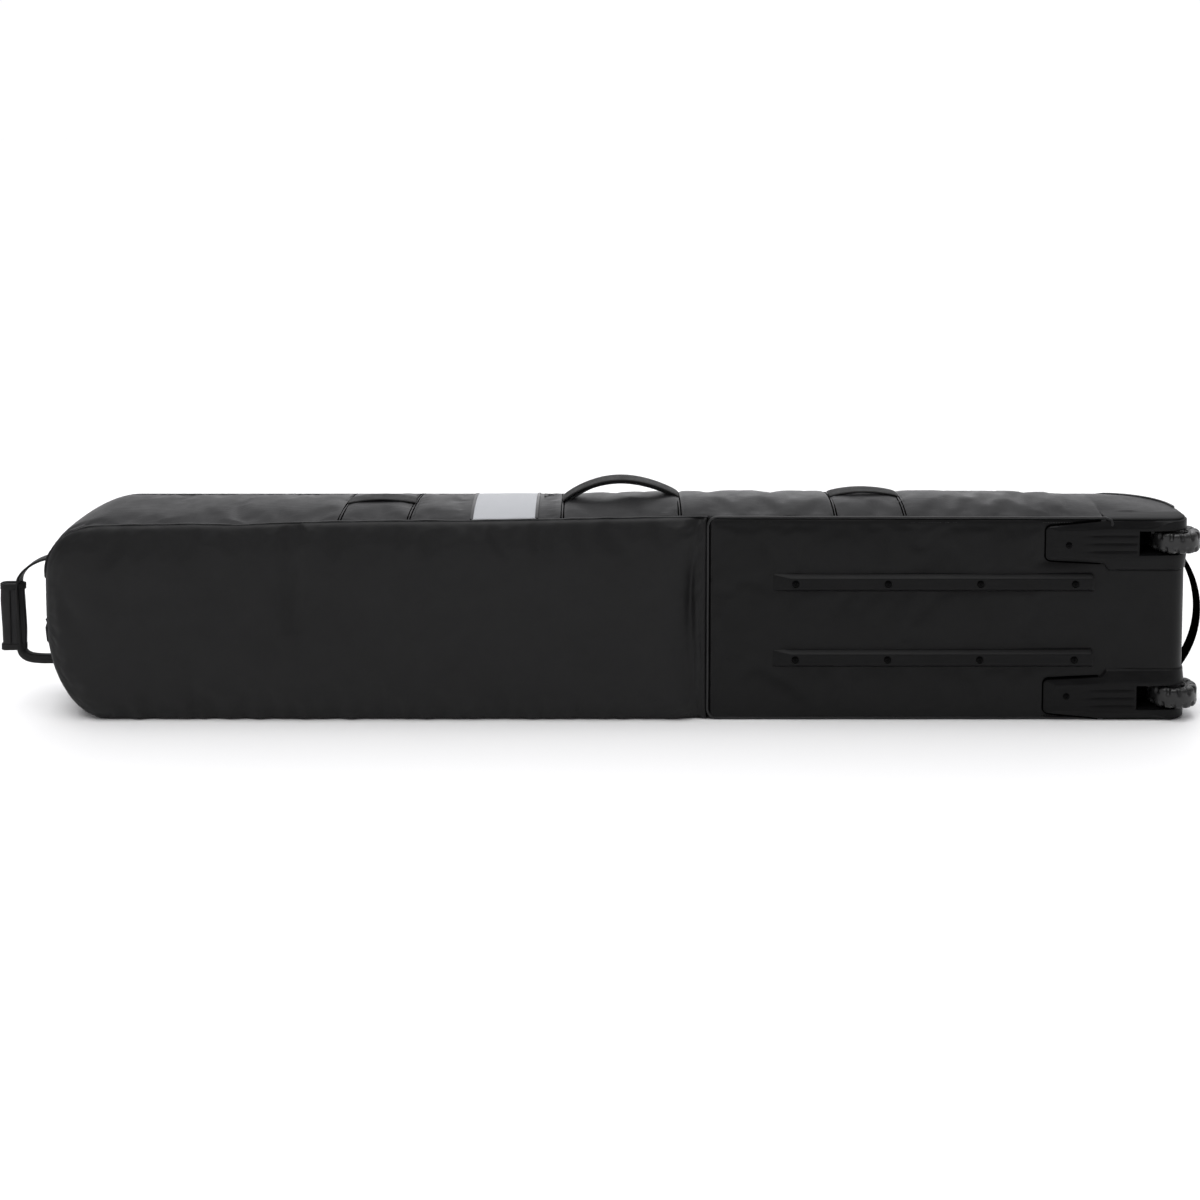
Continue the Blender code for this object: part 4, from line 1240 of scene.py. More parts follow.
def housing_marks(s):
    """Offsets from the bag's middle of the moulding's lines at each distance along it: its
    inner rim, inner top edge, the slot's two sides, outer top edge and outer rim."""
    start = TONGUE_START
    stepped = np.clip((s - 0.7005) / 0.009, 0, 1)
    stepped = stepped * stepped * (3 - 2 * stepped)
    inner = shape_along(s, [(start, 0.0868), (0.70, 0.0826)]) * (1 - stepped) + 0.0705 * stepped
    outer = shape_along(s, [(start, 0.1375), (0.69, 0.1452), (0.706, 0.1468), (2.0, 0.1468)])
    corner = 0.009
    near = np.clip(1 - (s - start) / corner, 0, 1)
    rounded = corner * (1 - np.sqrt(np.clip(1 - near ** 2, 0, 1)))
    inner, outer = inner + rounded, outer - rounded
    top_in = np.maximum(shape_along(s, [(start, 0.0960), (0.69, 0.0925), (0.76, 0.0915)]), inner)
    top_out = shape_along(s, [(start, 0.1275), (0.636, 0.1290), (0.70, 0.1345), (0.765, 0.1345),
                              (0.800, 0.1445), (2.0, 0.1445)])
    slot_in = np.maximum(WHEEL_OFFSET - SLOT_HALF, inner + 0.0004)
    slot_out = np.minimum(WHEEL_OFFSET + SLOT_HALF, outer - 0.0012)
    top_in = np.minimum(top_in, slot_in - 0.0002)
    top_out = np.clip(top_out, slot_out + 0.0004, outer - 0.0004)
    return inner, top_in, slot_in, slot_out, top_out, outer


def housing(side, word):
    """A moulded corner: a tongue with sloped borders that widens round the wheel's slot and
    wraps over the heel and on to the side wall."""
    start = TONGUE_START
    points, normals, s = housing_track()
    marks = housing_marks(s)
    inner, top_in, slot_in, slot_out, top_out, outer = marks
    cells = (5, 7, 22, 5, 6)      # inner slope, inner flat, over the slot, outer flat, outer slope
    columns = [a + (b - a) * k / n for a, b, n in zip(marks, marks[1:], cells) for k in range(n)]
    offset = np.stack(columns + [outer], axis=1)
    from_inner, from_outer = offset - inner[:, None], outer[:, None] - offset
    slope_in = np.clip(from_inner / np.maximum(top_in - inner, 1e-4)[:, None], 0, 1)
    slope_out = np.clip(from_outer / np.maximum(outer - top_out, 1e-4)[:, None], 0, 1)
    slope_end = np.clip((s - start) / (TONGUE_TOP - start), 0, 1)[:, None]
    rise = np.minimum(np.minimum(slope_in, slope_out), slope_end)
    full = shape_along(s, [(start, 0.0062), (0.70, 0.0070), (0.775, 0.0066), (0.81, 0.0040),
                           (0.835, 0.0030), (2.0, 0.0030)])[:, None]
    rim = shape_along(s, [(start, 0.0023), (0.70, 0.0022), (0.76, 0.0012), (2.0, 0.0012)])[:, None]
    height = rim + (full - rim) * rise
    ribs = sum(np.exp(-((offset - WHEEL_OFFSET - k) / 0.0017) ** 2) for k in (-0.0115, 0.0, 0.0115))
    fade = np.clip((s - 0.668) / 0.03, 0, 1) * np.clip((SLOT_START - 0.001 - s) / 0.004, 0, 1)
    height = height - 0.0016 * ribs * fade[:, None]
    to_edge = np.minimum(np.minimum(from_outer, from_inner), (s - start)[:, None])
    to_edge = np.maximum(to_edge, 0.0)
    height = height - 0.0042 * np.exp(-to_edge / 0.0006)
    x = points[:, 0][:, None] + normals[:, 0][:, None] * height
    y = points[:, 1][:, None] + normals[:, 1][:, None] * height
    z = MID + side * offset
    slot_columns = ((offset[:, :-1] >= slot_in[:, None] - 1e-6)
                    & (offset[:, 1:] <= slot_out[:, None] + 1e-6))
    keep = ~(slot_columns[:-1] & (s[:-1, None] >= SLOT_START - 1e-6))
    shell = grid_piece("housing_shell_" + word, x, y, z, PLASTIC, keep=keep, flip=side < 0)
    thicken(shell, 0.0024)
    bevelled(shell, 0.0005, 2, 50)
    fit(housing_side(side, word), "bag", "moulded_plastic")
    # painted shadow: a dark cord along the moulding's rim, where it presses into the cloth, stands
    # in for the shade in that gap
    rows = np.nonzero(s < 0.700)[0][::-1]
    seat_y = BASE - 0.0004
    line = [(points[i][0], seat_y, MID + side * outer[i]) for i in rows]
    line += [(points[i][0], seat_y, MID + side * inner[i]) for i in rows[::-1]]
    rim_shadow = sweep("housing_rim_shadow_" + word, line, round_section(0.0013, 6), (0, 1, 0), DARK_WEBBING_AND_SHADE)
    fit(rim_shadow, "bag", "moulded_plastic")
    whole = joined("wheel_corner_" + word, [shell, wheel_well(side, word)])
    smooth_up_to(whole, 32)
    fit(whole, "bag", "moulded_plastic", "wheel_housing_" + word)


def housing_side(side, word):
    """The part of the housing that wraps on to the side wall: a plate with a raised lip."""
    depths = np.array([0.0, 0.0015, 0.005, 0.010, 0.018, 0.028, 0.038, 0.0435, PLATE_DEPTH])
    lifts = np.array([-0.0010, 0.0004, 0.0012, 0.0016, 0.0018, 0.0018, 0.0016, 0.0010, -0.0004])
    line = np.concatenate([[0.7045, 0.7052, 0.707], np.linspace(0.710, 0.800, 18),
                           np.linspace(0.804, TAIL - 0.0002, 9)])
    x, depth = np.meshgrid(line, depths, indexing="ij")
    lift = np.repeat(lifts[None, :], len(line), axis=0)
    near_end = np.clip((x - 0.7045) / 0.0016, 0, 1)
    far_end = np.clip((TAIL + 0.0010 - x) / 0.004, 0, 1)
    lift = (lift + 0.0012) * np.sqrt(near_end * (2 - near_end)) * np.sqrt(far_end) - 0.0012
    if side < 0:
        lift = np.minimum(lift, -0.0002)
    heel = np.clip(x - HEEL_X, 0, HEEL_RADIUS - 0.0005)
    floor_y = BASE + HEEL_RADIUS - np.sqrt(HEEL_RADIUS ** 2 - heel ** 2)
    y = floor_y - 0.0012 + (BASE + PLATE_DEPTH - floor_y) * (depth / PLATE_DEPTH)
    z = MID + side * (MID + lift)
    piece = grid_piece("housing_side_" + word, x, y, z, DULL_PLASTIC, flip=side < 0)
    return thicken(piece, 0.0022)


def wheel_well(side, word):
    """The inside of the slot: an arched pocket that the wheel turns in, seen past it."""
    steps = 16
    path = [(SLOT_START - 0.0002, BASE - 0.004), (SLOT_START - 0.0004, BASE + 0.012)]
    for k in range(1, steps):
        angle = math.radians(180 - 100 * k / steps)
        path.append((WHEEL.x - 0.004 + 0.0575 * math.cos(angle),
                     WHEEL.y - 0.004 + 0.0430 * math.sin(angle)))
    path.append((TAIL - 0.0005, -0.0150))
    path = np.array(path)
    x = spread_out(path[:, 0], 2)
    y = spread_out(path[:, 1], 2)
    half = SLOT_HALF + 0.0001
    z = WHEEL_OFFSET * side + MID + np.repeat(np.array([[-half, half]]), len(path), axis=0)
    roof = grid_piece("well_roof", x, y, z, PLASTIC, flip=True)
    thicken(roof, 0.0014)
    cheeks = []
    for edge in (-half, half):
        ring = [(px, py, MID + side * WHEEL_OFFSET + edge) for px, py in path]
        ring.append((TAIL + 0.0005, BASE + HEEL_RADIUS, MID + side * WHEEL_OFFSET + edge))
        for k in range(6, -1, -1):
            angle = math.radians(-90 + 90 * k / 6)
            ring.append((HEEL_X + (HEEL_RADIUS - 0.001) * math.cos(angle),
                         BASE + HEEL_RADIUS + (HEEL_RADIUS - 0.001) * math.sin(angle),
                         MID + side * WHEEL_OFFSET + edge))
        cheek = mesh_piece("cheek", ring, [tuple(range(len(ring)))], PLASTIC, smooth=False)
        cheeks.append(thicken(cheek, 0.0016, offset=0.0))
    return joined("well_" + word, [roof] + cheeks)


def tyre_radius(angle, radius, height):
    """Lugs on both shoulders, staggered, over a smooth middle band."""
    if radius < WHEEL_RADIUS - 0.0062:
        return radius
    count = 14
    across = height / 0.015
    phase = angle * count / (2 * math.pi) + (0.5 if across > 0 else 0.0)
    along = abs((phase % 1.0) - 0.5) * 2                   # 0 in a lug's middle, 1 between lugs
    lug = 1 / (1 + math.exp((along - 0.66) / 0.050))
    on_shoulder = 1 / (1 + math.exp(-(abs(across) - 0.42) / 0.05))
    return radius - 0.0030 * on_shoulder * (1 - lug) + 0.0003 * on_shoulder * lug


def wheels():
    for word in ("upper", "lower"):
        low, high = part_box("wheel_tyre_" + word)
        centre = (low + high) / 2
        half = (high.z - low.z) / 2 - 0.0004
        r = WHEEL_RADIUS - 0.0006
        edge = 0.0055                                      # rounding of the tyre's shoulders
        loop = [(0.0224, -half + 0.003), (0.0265, -half + 0.0008), (0.0300, -half)]
        loop += arc((r - edge, -half + edge), edge, -90, 0, 6)
        loop += [(r, h) for h in np.linspace(-half + edge, half - edge, 13)[1:-1]]
        loop += arc((r - edge, half - edge), edge, 0, 90, 6)
        loop += [(0.0300, half), (0.0265, half - 0.0008), (0.0224, half - 0.003)]
        tyre = turned("tyre_" + word, loop, centre, RUBBER, steps=168, bumps=tyre_radius)
        hub_half = 0.0118
        upper = [(0.0219, hub_half), (0.0200, hub_half), (0.0188, hub_half - 0.001),
                 (0.0178, 0.0045), (0.0140, 0.0050), (0.0130, 0.0110), (0.0120, 0.0128),
                 (0.0084, 0.0128)]
        hub_loop = [(radius, -height) for radius, height in upper[::-1]] + upper
        hub = turned("hub_" + word, hub_loop, centre, HUB, steps=60)
        spokes = []
        for k in range(5):
            angle = 2 * math.pi * k / 5
            spoke = cube_piece("spoke", (0.0125, -0.0016, -0.0108), (0.0198, 0.0016, 0.0108), HUB,
                               0.0006)
            spoke.data.transform(Matrix.Translation(centre) @ Matrix.Rotation(angle, 4, "Z"))
            spokes.append(spoke)
        hub = joined("wheel_core_" + word, [hub] + spokes)
        upper = [(0.0079, 0.0130), (0.0070, 0.0122), (0.0062, 0.0122), (0.0056, 0.0130),
                 (0.0044, 0.0126)]
        race_loop = [(radius, -height) for radius, height in upper[::-1]] + upper
        race = turned("race_" + word, race_loop, centre, STEEL, steps=40)
        for piece, node, slot in ((tyre, "wheel_tyre_", "tyre_rubber"),
                                  (hub, "wheel_hub_", "hub_plastic"),
                                  (race, "wheel_bearing_", "steel")):
            fit(piece, "wheel_" + word, slot, node + word)
        repaint("axle_" + word, STEEL)


def screw_mesh():
    """A pan head with a cross recess, its axis along -Y and its seat at y = 0."""
    profile = [(0.0, 0.0), (0.0046, 0.0), (0.0048, 0.0006), (0.0045, 0.0013), (0.0034, 0.0019),
               (0.0018, 0.0022), (0.0, 0.0023)]
    shape = bmesh.new()
    for radius, height in profile:
        shape.verts.new((radius, 0, height))
    shape.verts.ensure_lookup_table()
    for a, b in zip(shape.verts[:-1], shape.verts[1:]):
        shape.edges.new((a, b))
    bmesh.ops.spin(shape, geom=shape.verts[:] + shape.edges[:], cent=(0, 0, 0), axis=(0, 0, 1),
                   angle=2 * math.pi, steps=24)
    bmesh.ops.remove_doubles(shape, verts=shape.verts, dist=1e-6)
    bmesh.ops.recalc_face_normals(shape, faces=shape.faces)
    made = shape_object("screw_head", shape, BLACK_STEEL)
    for turn in (0, math.pi / 2):
        arm = cube_piece("arm", (-0.0022, -0.0005, 0.0012), (0.0022, 0.0005, 0.0040), BLACK_STEEL)
        arm.data.transform(Matrix.Rotation(turn, 4, "Z"))
        cut(made, arm)
    made.data.transform(Matrix.Rotation(math.pi / 2, 4, "X"))
    smooth_up_to(made, 35)
    mesh = made.data
    bpy.data.objects.remove(made, do_unlink=True)
    return mesh


def rail(word):
    """A skid rail: bevelled along both sides, ramped towards the nose, with screw seats."""
    low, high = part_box("skid_rail_" + word)
    centre = (low.z + high.z) / 2
    depth = high.y - low.y
    half, top_half = (high.z - low.z) / 2, 0.0078
    ramp = 0.026
    base = high.y
    # each station: x, height, half width at the foot, half width on top
    stations = [(low.x, 0.0022, half - 0.001, half - 0.0022),
                (low.x + 0.002, 0.0032, half, half - 0.0020),
                (low.x + ramp, depth, half, top_half), (high.x - 0.006, depth, half, top_half),
                (high.x - 0.0005, depth - 0.0012, half, top_half + 0.001)]
    verts, faces = [], []
    for x, tall, wide, narrow in stations:
        wall = min(0.0035, tall * 0.5)
        for z, y in ((-wide, 0.0), (-wide, wall), (-narrow, tall), (narrow, tall), (wide, wall),
                     (wide, 0.0)):
            verts.append((x, base - y, centre + z))
    for i in range(len(stations) - 1):
        for j in range(5):
            faces.append((i * 6 + j, (i + 1) * 6 + j, (i + 1) * 6 + j + 1, i * 6 + j + 1))
        faces.append((i * 6 + 5, (i + 1) * 6 + 5, (i + 1) * 6, i * 6))
    faces.append(tuple(range(6)))
    faces.append(tuple(reversed([(len(stations) - 1) * 6 + j for j in range(6)])))
    piece = mesh_piece("rail_" + word, verts, faces, PLASTIC, smooth=False)
    mend(piece)
    bevelled(piece, 0.0011, 3, 20)
    for number in (1, 2, 3, 4):
        cut(piece, seat_tool(box_middle(f"rail_screw_{word}_{number}"), low.y))
    smooth_up_to(piece, 35)
    fit(piece, "bag", "moulded_plastic", "skid_rail_" + word)


def seat_tool(centre, surface, depth=0.0018, radius=0.0056):
    shape = bmesh.new()
    bmesh.ops.create_cone(shape, cap_ends=True, segments=32, radius1=radius, radius2=radius,
                          depth=2 * depth,
                          matrix=Matrix.Translation((centre.x, surface, centre.z))
                          @ Matrix.Rotation(math.pi / 2, 4, "X"))
    return shape_object("seat", shape)


def screws():
    mesh = screw_mesh()
    turn = 0.4
    names = [f"rail_screw_{w}_{n}" for w in ("upper", "lower") for n in (1, 2, 3, 4)]
    names += ["housing_screw_upper", "housing_screw_lower"]
    for index, node in enumerate(names):
        centre = box_middle(node)
        made = add_object(node + "_head", mesh.copy())
        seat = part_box("skid_rail_upper")[0].y + 0.0013
        if node.startswith("housing"):
            seat = BASE - 0.0064
        made.data.transform(Matrix.Translation((centre.x, seat, centre.z))
                            @ Matrix.Rotation(turn * (index + 1), 4, "Y"))
        fit(made, "bag", "black_screw", node)


# ---- lid side ----------------------------------------------------------------------------
BORDER_INNER = 0.029
COIL_MIDDLE = (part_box("zipper_slider_nose")[0].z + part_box("zipper_slider_nose")[1].z) / 2
LID_EDGE = LID_LOW.z
ZIP_END = -0.700
COIL_PITCH = 0.0026


def lid_track(inset, spacing=0.008):
    """Points (x, z) round the lid: from the hinge down the tail, along the lower side, round
    the nose and back to the zip's end, at one inset from the outline."""
    right = LID_TAIL - inset
    radius = NOSE_RADIUS - inset
    turn = max(0.030 - (inset - BORDER_INNER), 0.004) if inset > 0.01 else 0.004
    track = [(right, z) for z in np.linspace(LID_HIGH.z - 0.001, inset + turn, 28)]
    track += arc((right - turn, inset + turn), turn, 0, -90, 8, skip=1)[:-1]
    count = int((right - turn - NOSE_CENTRE) / spacing)
    track += [(x, inset) for x in np.linspace(right - turn, NOSE_CENTRE, count)]
    straight = np.linspace(NOSE_RADIUS, HEIGHT - NOSE_RADIUS, 12)[1:-1]
    track += arc((NOSE_CENTRE, NOSE_RADIUS), radius, 270, 180, 16, skip=1)
    track += [(NOSE + inset, z) for z in straight]
    track += arc((NOSE_CENTRE, HEIGHT - NOSE_RADIUS), radius, 180, 90, 16, skip=1)
    track += [(x, HEIGHT - inset) for x in np.linspace(NOSE_CENTRE, ZIP_END, 4)[1:]]
    return track


def border():
    """The cloth border of the zip on the lid side, and the tape beside the coil."""
    insets = (0.0012, 0.004, 0.012, 0.020, 0.0262, 0.0284)
    heights = (-0.0012, 0.0006, 0.0012, 0.0010, 0.0006, -0.0008)
    grid = np.stack([resampled(lid_track(inset)) for inset in insets], axis=1)
    x, z = grid[:, :, 0], np.maximum(grid[:, :, 1], 0.0012)
    y = FRONT - 0.0002 + np.repeat(np.array(heights)[None, :], len(x), axis=0)
    y = y + 0.0005 * wave(x, z, 0.04, 17.0)
    piece = grid_piece("zip_border_cloth", x, y, z, CLOTH_FINISH)
    thicken(piece)
    fit(piece, "bag", "coated_cloth", "zipper_border")
    sewn = [[(a, FRONT + 0.0012, b) for a, b in lid_track(inset)] for inset in (0.0235, 0.0258)]
    piece = stitches("border_stitching", sewn, (0, 1, 0), THREAD)
    fit(piece, "bag", "webbing")


def zip_row(name, track, y, lean):
    """One side of a coil zip: a row of small loops along a track, leaning one way."""
    verts, faces = [], []
    out = Vector((0, 1, 0))
    for place, along in evenly([(x, y, z) for x, z in track], COIL_PITCH):
        across = along.cross(out) * lean
        first = len(verts)
        ring = [(-0.0022, -0.0004), (-0.0022, 0.0007), (0.0, 0.0011), (0.0009, 0.0003),
                (0.0006, -0.0005), (-0.0006, -0.0008)]
        for shift, grow in ((-0.00062, 0.72), (-0.0002, 1.0), (0.0002, 1.0), (0.00062, 0.72)):
            for a, b in ring:
                verts.append(place + along * shift + across * (a * grow) + out * (b * grow))
        faces += tube_faces(4, len(ring), first)
    made = mesh_piece(name, verts, faces, COIL)
    mend(made)
    made.data.set_sharp_from_angle(angle=math.radians(50))
    return made


def tape(name, first_inset, last_inset, y, body):
    """A flat zip tape between two insets."""
    insets = (first_inset, (first_inset + last_inset) / 2, last_inset)
    grid = np.stack([resampled(lid_track(inset)) for inset in insets], axis=1)
    x, z = grid[:, :, 0], grid[:, :, 1]
    piece = grid_piece(name, x, np.full_like(x, y), z, WEBBING)
    thicken(piece, 0.0007)
    fit(piece, body, "zip_coil")


def main_zip():
    tape("zip_tape_bag", BORDER_INNER - 0.001, COIL_MIDDLE - 0.0003, FRONT - 0.0018, "bag")
    tape("zip_tape_lid", COIL_MIDDLE + 0.0003, LID_EDGE + 0.002, FRONT - 0.0018, "lid")
    row = zip_row("zip_coil_bag", lid_track(COIL_MIDDLE), FRONT - 0.0011, 1.0)
    fit(row, "bag", "zip_coil", "zipper_coil")
    other = lid_track(COIL_MIDDLE)
    shifted = [(other[0][0], other[0][1] + 0.0013)] + other
    row = zip_row("zip_coil_lid", shifted, FRONT - 0.0011, -1.0)
    fit(row, "lid", "zip_coil")


def lid():
    """The padded lid panel, inside the zip, hinged at the upper edge."""
    radius = NOSE_RADIUS - LID_EDGE
    right = LID_TAIL - LID_EDGE
    corner = 0.0195
    arc_x = NOSE_CENTRE - radius * np.cos(np.linspace(0, math.pi / 2, 14))
    middle = np.linspace(NOSE_CENTRE, right - corner, 150)[1:]
    end = right - corner + corner * np.sin(np.linspace(0, math.pi / 2, 9))[1:]
    columns = np.concatenate([arc_x, middle, end])
    rows = eased(45, 0.5)
    x = spread_out(columns, len(rows))
    reach = np.clip(NOSE_CENTRE - x, 0, radius)
    drop = radius - np.sqrt(np.clip(radius ** 2 - reach ** 2, 0, None))
    far = np.clip(x - (right - corner), 0, corner)
    low = LID_EDGE + drop + corner - np.sqrt(np.clip(corner ** 2 - far ** 2, 0, None))
    top_nose = HEIGHT - LID_EDGE - drop
    step = np.clip((x - (ZIP_END - 0.004)) / 0.008, 0, 1)
    high = top_nose * (1 - step) + (LID_HIGH.z - 0.0006) * step
    z = low + (high - low) * rows[None, :]
    edge = np.minimum(np.minimum(z - low, high - z), np.minimum(x - columns[0], columns[-1] - x))
    puff = 0.0012 + 0.0030 * shoulder(edge, 0.012) + 0.0042 * shoulder(edge, 0.085)
    puff = puff + 0.0011 * wave(x, z, 0.15, 41.0) * shoulder(edge, 0.05)
    puff = puff - valley(x, z, (-0.55, 0.28), (-0.53, 0.10), 0.010, 0.0022)
    puff = puff - valley(x, z, (0.44, 0.27), (0.46, 0.12), 0.010, 0.0020)
    hinge = np.clip((high - z) / 0.012, 0, 1)
    pocket_low, pocket_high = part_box("lid_pocket")
    outside = np.hypot(np.maximum(np.maximum(pocket_low.x - x, x - pocket_high.x), 0),
                       np.maximum(np.maximum(pocket_low.z - z, z - pocket_high.z - 0.012), 0))
    covered = np.clip(1 - outside / 0.030, 0, 1) ** 2
    puff = puff * (1 - covered) + np.minimum(puff, 0.0036) * covered
    y = FRONT - 0.0035 + puff * np.where(x > ZIP_END, 0.35 + 0.65 * hinge, 1.0)
    piece = grid_piece("lid_cloth", x, y, z, CLOTH_FINISH, flip=True)
    held = np.maximum(np.clip(SEWN - np.ravel(edge) / 0.012, 0, 1), np.ravel(covered) > 0.7)
    settle(piece, held, 0.003, pressure=0.8, slack=0.008)
    thicken(piece)
    fit(piece, "lid", "coated_cloth", "lid_panel")
    sewn = [[(a, FRONT + 0.0016, b) for a, b in lid_track(LID_EDGE + 0.004)]]
    piece = stitches("lid_stitching", sewn, (0, 1, 0), THREAD)
    fit(piece, "lid", "webbing")


def pocket():
    """A flat pocket on the lid, bound along three sides, with a zip along its top."""
    low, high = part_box("lid_pocket")
    columns = low.x + eased(75, 0.35) * (high.x - low.x)
    rows = low.z + eased(27, 0.45) * (high.z - low.z)
    x, z = np.meshgrid(columns, rows, indexing="ij")
    edge = np.minimum(np.minimum(x - low.x, high.x - x), np.minimum(z - low.z, high.z - z))
    puff = 0.0030 * shoulder(edge, 0.014) + 0.0036 * shoulder(edge, 0.06)
    puff = puff + 0.0010 * wave(x, z, 0.09, 51.0) * shoulder(edge, 0.03)
    puff = puff - 0.0012 * np.exp(-edge / 0.010) * wave(x + z, x - z, 0.020, 53.0)
    y = FRONT + 0.0018 + puff
    piece = grid_piece("pocket_cloth", x, y, z, WALL_FINISH, flip=True)
    thicken(piece, 0.0018)
    fit(piece, "lid", "coated_cloth", "lid_pocket")
    ring = [(low.x, high.z + 0.012), (low.x, low.z), (high.x, low.z), (high.x, high.z + 0.012)]
    path = []
    for (ax, az), (bx, bz) in zip(ring, ring[1:]):
        for share in np.linspace(0, 1, 30):
            path.append((ax + (bx - ax) * share, FRONT + 0.0036, az + (bz - az) * share))
    bound = sweep("pocket_binding", path, strap_section(0.0075, 0.0016), (0, 1, 0), PIPING)
    fit(bound, "lid", "coated_cloth")
    zip_z = box_middle("pocket_zipper_coil").z
    line = [(low.x + 0.002, zip_z), (high.x - 0.002, zip_z)]
    shifted = [(low.x + 0.0033, zip_z), (high.x - 0.002, zip_z)]
    surface = FRONT + 0.0058
    coil = joined("pocket_coil", [zip_row("a", line, surface, 1.0),
                                  zip_row("b", shifted, surface, -1.0)])
    fit(coil, "lid", "zip_coil", "pocket_zipper_coil")
    strip = cube_piece("pocket_tape", (low.x, FRONT + 0.0030, zip_z - 0.009),
                       (high.x, FRONT + 0.0048, zip_z + 0.012), WEBBING, 0.0006)
    fit(strip, "lid", "zip_coil")


def sliders():
    """Zip sliders with a raised bridge, and pulls with a hole and a rounded end."""
    for word, body, pull_body, way in (("nose", "zip_slider_nose", "zip_pull_nose", -1),
                                       ("tail", "zip_slider_tail", "zip_pull_tail", 1),
                                       ("pocket", "pocket_slider", "pocket_pull", -1)):
        low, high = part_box("zipper_slider_" + word)
        middle = (low + high) / 2
        length, width = high.x - low.x, high.z - low.z
        outline = []
        for a, b in ((-0.5, 0.30), (-0.42, 0.44), (-0.1, 0.5), (0.30, 0.5), (0.5, 0.34)):
            outline.append((middle.x - way * a * length, middle.z + b * width))
        outline += [(x, 2 * middle.z - z) for x, z in reversed(outline)]
        layers = []
        for a, b in ((low.y - 0.0004, low.y + 0.0010), (low.y + 0.0016, low.y + 0.0028)):
            count = len(outline)
            verts = [(x, a, z) for x, z in outline] + [(x, b, z) for x, z in outline]
            faces = [tuple(range(count)), tuple(reversed(range(count, 2 * count)))]
            faces += [(k, (k + 1) % count, count + (k + 1) % count, count + k)
                      for k in range(count)]
            layer = mesh_piece("layer", verts, faces, ZINC, smooth=False)
            mend(layer)
            layers.append(bevelled(layer, 0.0004, 2))
        post_low = (middle.x - 0.0020, low.y + 0.0006, middle.z - 0.0015)
        post_high = (middle.x + 0.0020, low.y + 0.0020, middle.z + 0.0015)
        layers.append(cube_piece("post", post_low, post_high, ZINC, 0.0003))
        rising = [(-0.0060, 0.0026), (-0.0052, 0.0054), (-0.0025, 0.0068)]
        bridge = [(middle.x + a, low.y + b, middle.z) for a, b in rising]
        bridge += [(middle.x - a, low.y + b, middle.z) for a, b in reversed(rising)]
        layers.append(sweep("bridge", smooth_path(bridge, 4), strap_section(0.0026, 0.0010, 3),
                            (0, 0, 1), ZINC))
        slider = joined("slider_" + word, layers)
        fit(slider, body, "zip_metal", "zipper_slider_" + word)
        pull_low, pull_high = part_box("zipper_pull_" + word)
        y = (pull_low.y + pull_high.y) / 2
        start_x, end_x = (pull_high.x, pull_low.x) if way < 0 else (pull_low.x, pull_high.x)
        ring = []
        for k in range(25):
            angle = 2 * math.pi * k / 24
            ring.append((start_x + way * 0.0022 + 0.0034 * math.cos(angle), y,
                         middle.z + 0.0026 * math.sin(angle)))
        link = sweep("link", ring, round_section(0.00065, 8), (0, 1, 0), ZINC)
        tab_low, tab_high = sorted((start_x + way * 0.006, end_x))
        tab = cube_piece("tab", (tab_low, y - 0.0009, pull_low.z),
                         (tab_high, y + 0.0009, pull_high.z), ZINC, 0.0006, 3)
        for share in (0.35, 0.5, 0.65, 0.8):
            x = tab_low + (tab_high - tab_low) * share
            groove = cube_piece("groove", (x - 0.0006, y + 0.0006, pull_low.z + 0.0012),
                                (x + 0.0006, y + 0.0015, pull_high.z - 0.0012), ZINC)
            cut(tab, groove)
        pull = joined("pull_" + word, [link, tab])
        smooth_up_to(pull, 35)
        fit(pull, pull_body, "zip_metal", "zipper_pull_" + word)


# ---- inside ------------------------------------------------------------------------------
def tie_downs():
    """Two inner straps with side-release buckles."""
    for word in ("nose", "tail"):
        low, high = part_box("strap_lower_" + word)
        x, y = (low.x + high.x) / 2, (low.y + high.y) / 2
        path = [(x, y, z) for z in np.linspace(low.z, high.z, 12)]
        piece = sweep("inner_strap_" + word, path, strap_section(0.025, 0.0016), (1, 0, 0), WEBBING)
        fit(piece, "bag", "webbing", "strap_lower_" + word)
        low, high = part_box("strap_upper_" + word)
        path = [(x, y, z) for z in np.linspace(low.z, high.z, 24)]
        piece = sweep("inner_strap_free_" + word, path, strap_section(0.025, 0.0016), (1, 0, 0),
                      WEBBING)
        blend_on(piece,
                 "strap_upper_" + word)
        low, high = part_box("buckle_socket_" + word)
        socket = cube_piece("socket_" + word, low, high, BUCKLE, 0.0028, 4)
        for side in (-1, 1):
            window_low = (x + side * 0.0165 - 0.005, low.y + 0.0022, low.z + 0.010)
            window_high = (x + side * 0.0165 + 0.005, high.y - 0.0022, low.z + 0.022)
            cut(socket, cube_piece("window", window_low, window_high, BUCKLE))
        socket.data.set_sharp_from_angle(angle=math.radians(35))
        fit(socket, "bag", "buckle_plastic", "buckle_socket_" + word)
        low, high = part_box("buckle_tongue_" + word)
        tongue = cube_piece("tongue_piece_" + word, low, high, BUCKLE, 0.0028, 4)
        cut(tongue, cube_piece("slit", (x - 0.0130, low.y - 0.01, high.z - 0.010),
                               (x + 0.0130, high.y + 0.01, high.z - 0.006), BUCKLE))
        smooth_up_to(tongue, 35)
        fit(tongue, "tongue_" + word, "buckle_plastic", "buckle_tongue_" + word)
    repaint("base_board", HUB)


# ---- stage -------------------------------------------------------------------------------
CAMERA_PLACE = (-0.0244, -2.4400, 0.9052)
CAMERA_TIP = 0.0656                   # how far it looks down, in radians
SKY_DARK, SKY_BRIGHT = (0.26, 0.255, 0.26, 1), (2.00, 2.00, 2.04, 1)


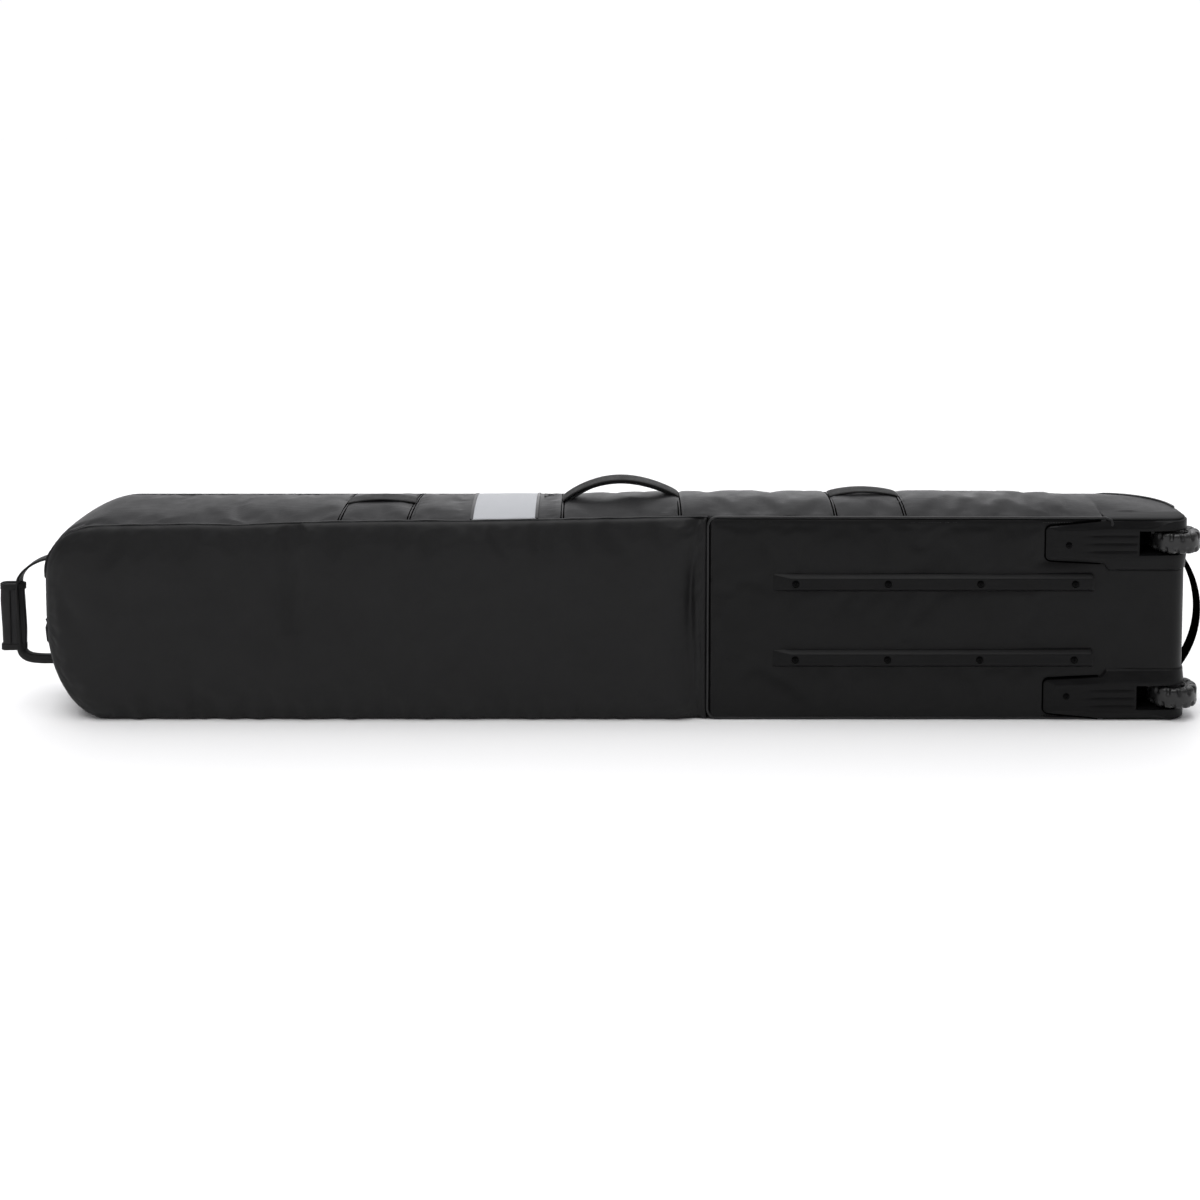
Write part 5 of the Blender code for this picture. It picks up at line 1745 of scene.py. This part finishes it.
def stage():
    floor = mesh_piece("floor", [(-30, -30, 0), (30, -30, 0), (30, 30, 0), (-30, 30, 0)],
                       [(0, 1, 2, 3)], stage_finish("floor", (0.95, 0.95, 0.95), 0.6))
    world = bpy.data.worlds.new("studio")
    bpy.context.scene.world = world
    world.use_nodes = True
    tree = world.node_tree

    def node(kind, feeds=(), **settings):
        """A node of the sky, with settings, and its inputs set or linked."""
        made = tree.nodes.new(kind)
        for key, value in settings.items():
            setattr(made, key, value)
        for key, value in feeds:
            if isinstance(value, bpy.types.NodeSocket):
                tree.links.new(value, made.inputs[key])
            else:
                made.inputs[key].default_value = value
        return made

    def eased_range(value, low, high, out_low, out_high):
        feeds = (("From Min", low), ("From Max", high), ("To Min", out_low),
                 ("To Max", out_high), ("Value", value))
        return node("ShaderNodeMapRange", feeds, interpolation_type="SMOOTHSTEP").outputs["Result"]

    place = node("ShaderNodeTexCoord").outputs["Generated"]
    parts = node("ShaderNodeSeparateXYZ", [("Vector", place)])
    # dim behind the camera and white beyond; brightest a little towards the tail
    factor = eased_range(parts.outputs["Y"], -0.70, 0.30, 0.0, 1.0)
    offset = node("ShaderNodeMath", [(0, parts.outputs["X"]), (1, 0.06)], operation="SUBTRACT")
    side = node("ShaderNodeMath", [(0, offset.outputs[0])], operation="ABSOLUTE").outputs[0]
    for near, far, least in ((0.0, 0.30, 0.43), (0.42, 0.90, 0.35)):
        middle = eased_range(side, near, far, 1.0, least)
        factor = node("ShaderNodeMath", [(0, factor), (1, middle)], operation="MULTIPLY").outputs[0]
    tone = node("ShaderNodeMix", [("Factor", factor)], data_type="RGBA")
    tone.inputs["A"].default_value = SKY_DARK
    tone.inputs["B"].default_value = SKY_BRIGHT
    background = tree.nodes["Background"]
    tree.links.new(tone.outputs["Result"], background.inputs["Color"])
    background.inputs["Strength"].default_value = 1.0
    sun = bpy.data.lights.new("overhead", "SUN")
    sun.energy = 1.55
    sun.angle = math.radians(50)
    add_object("overhead", sun).rotation_euler = (math.radians(10), math.radians(-6), 0)
    fill = bpy.data.lights.new("fill", "AREA")
    fill.shape = "RECTANGLE"
    fill.size, fill.size_y = 1.6, 0.5
    fill.energy = 9
    made = add_object("fill", fill)
    made.location = (-0.7, -1.7, 1.9)
    towards = Vector((-0.35, 0, 0.25)) - made.location
    made.rotation_euler = towards.to_track_quat("-Z", "Y").to_euler()
    bpy.context.scene.view_settings.view_transform = "Standard"


def camera():
    """A camera in front of the base, above the bag's middle and tipped slightly down."""
    data = bpy.data.cameras.new("camera")
    made = add_object("camera", data)
    bpy.context.scene.camera = made
    data.lens = 50.0
    data.shift_y = -0.33
    made.location = CAMERA_PLACE
    made.rotation_euler = (math.pi / 2 - CAMERA_TIP, 0, 0)


camera()
stage()
base_nose()
base_tail()
side_wall()
tail_wall()
bindings()
window()
cross_seam_stitching()
handles()
nose_haul()
haul_patches()
tail_haul()
for side, word in ((1, "upper"), (-1, "lower")):
    housing(side, word)
    rail(word)
wheels()
screws()
border()
main_zip()
lid()
pocket()
sliders()
tie_downs()
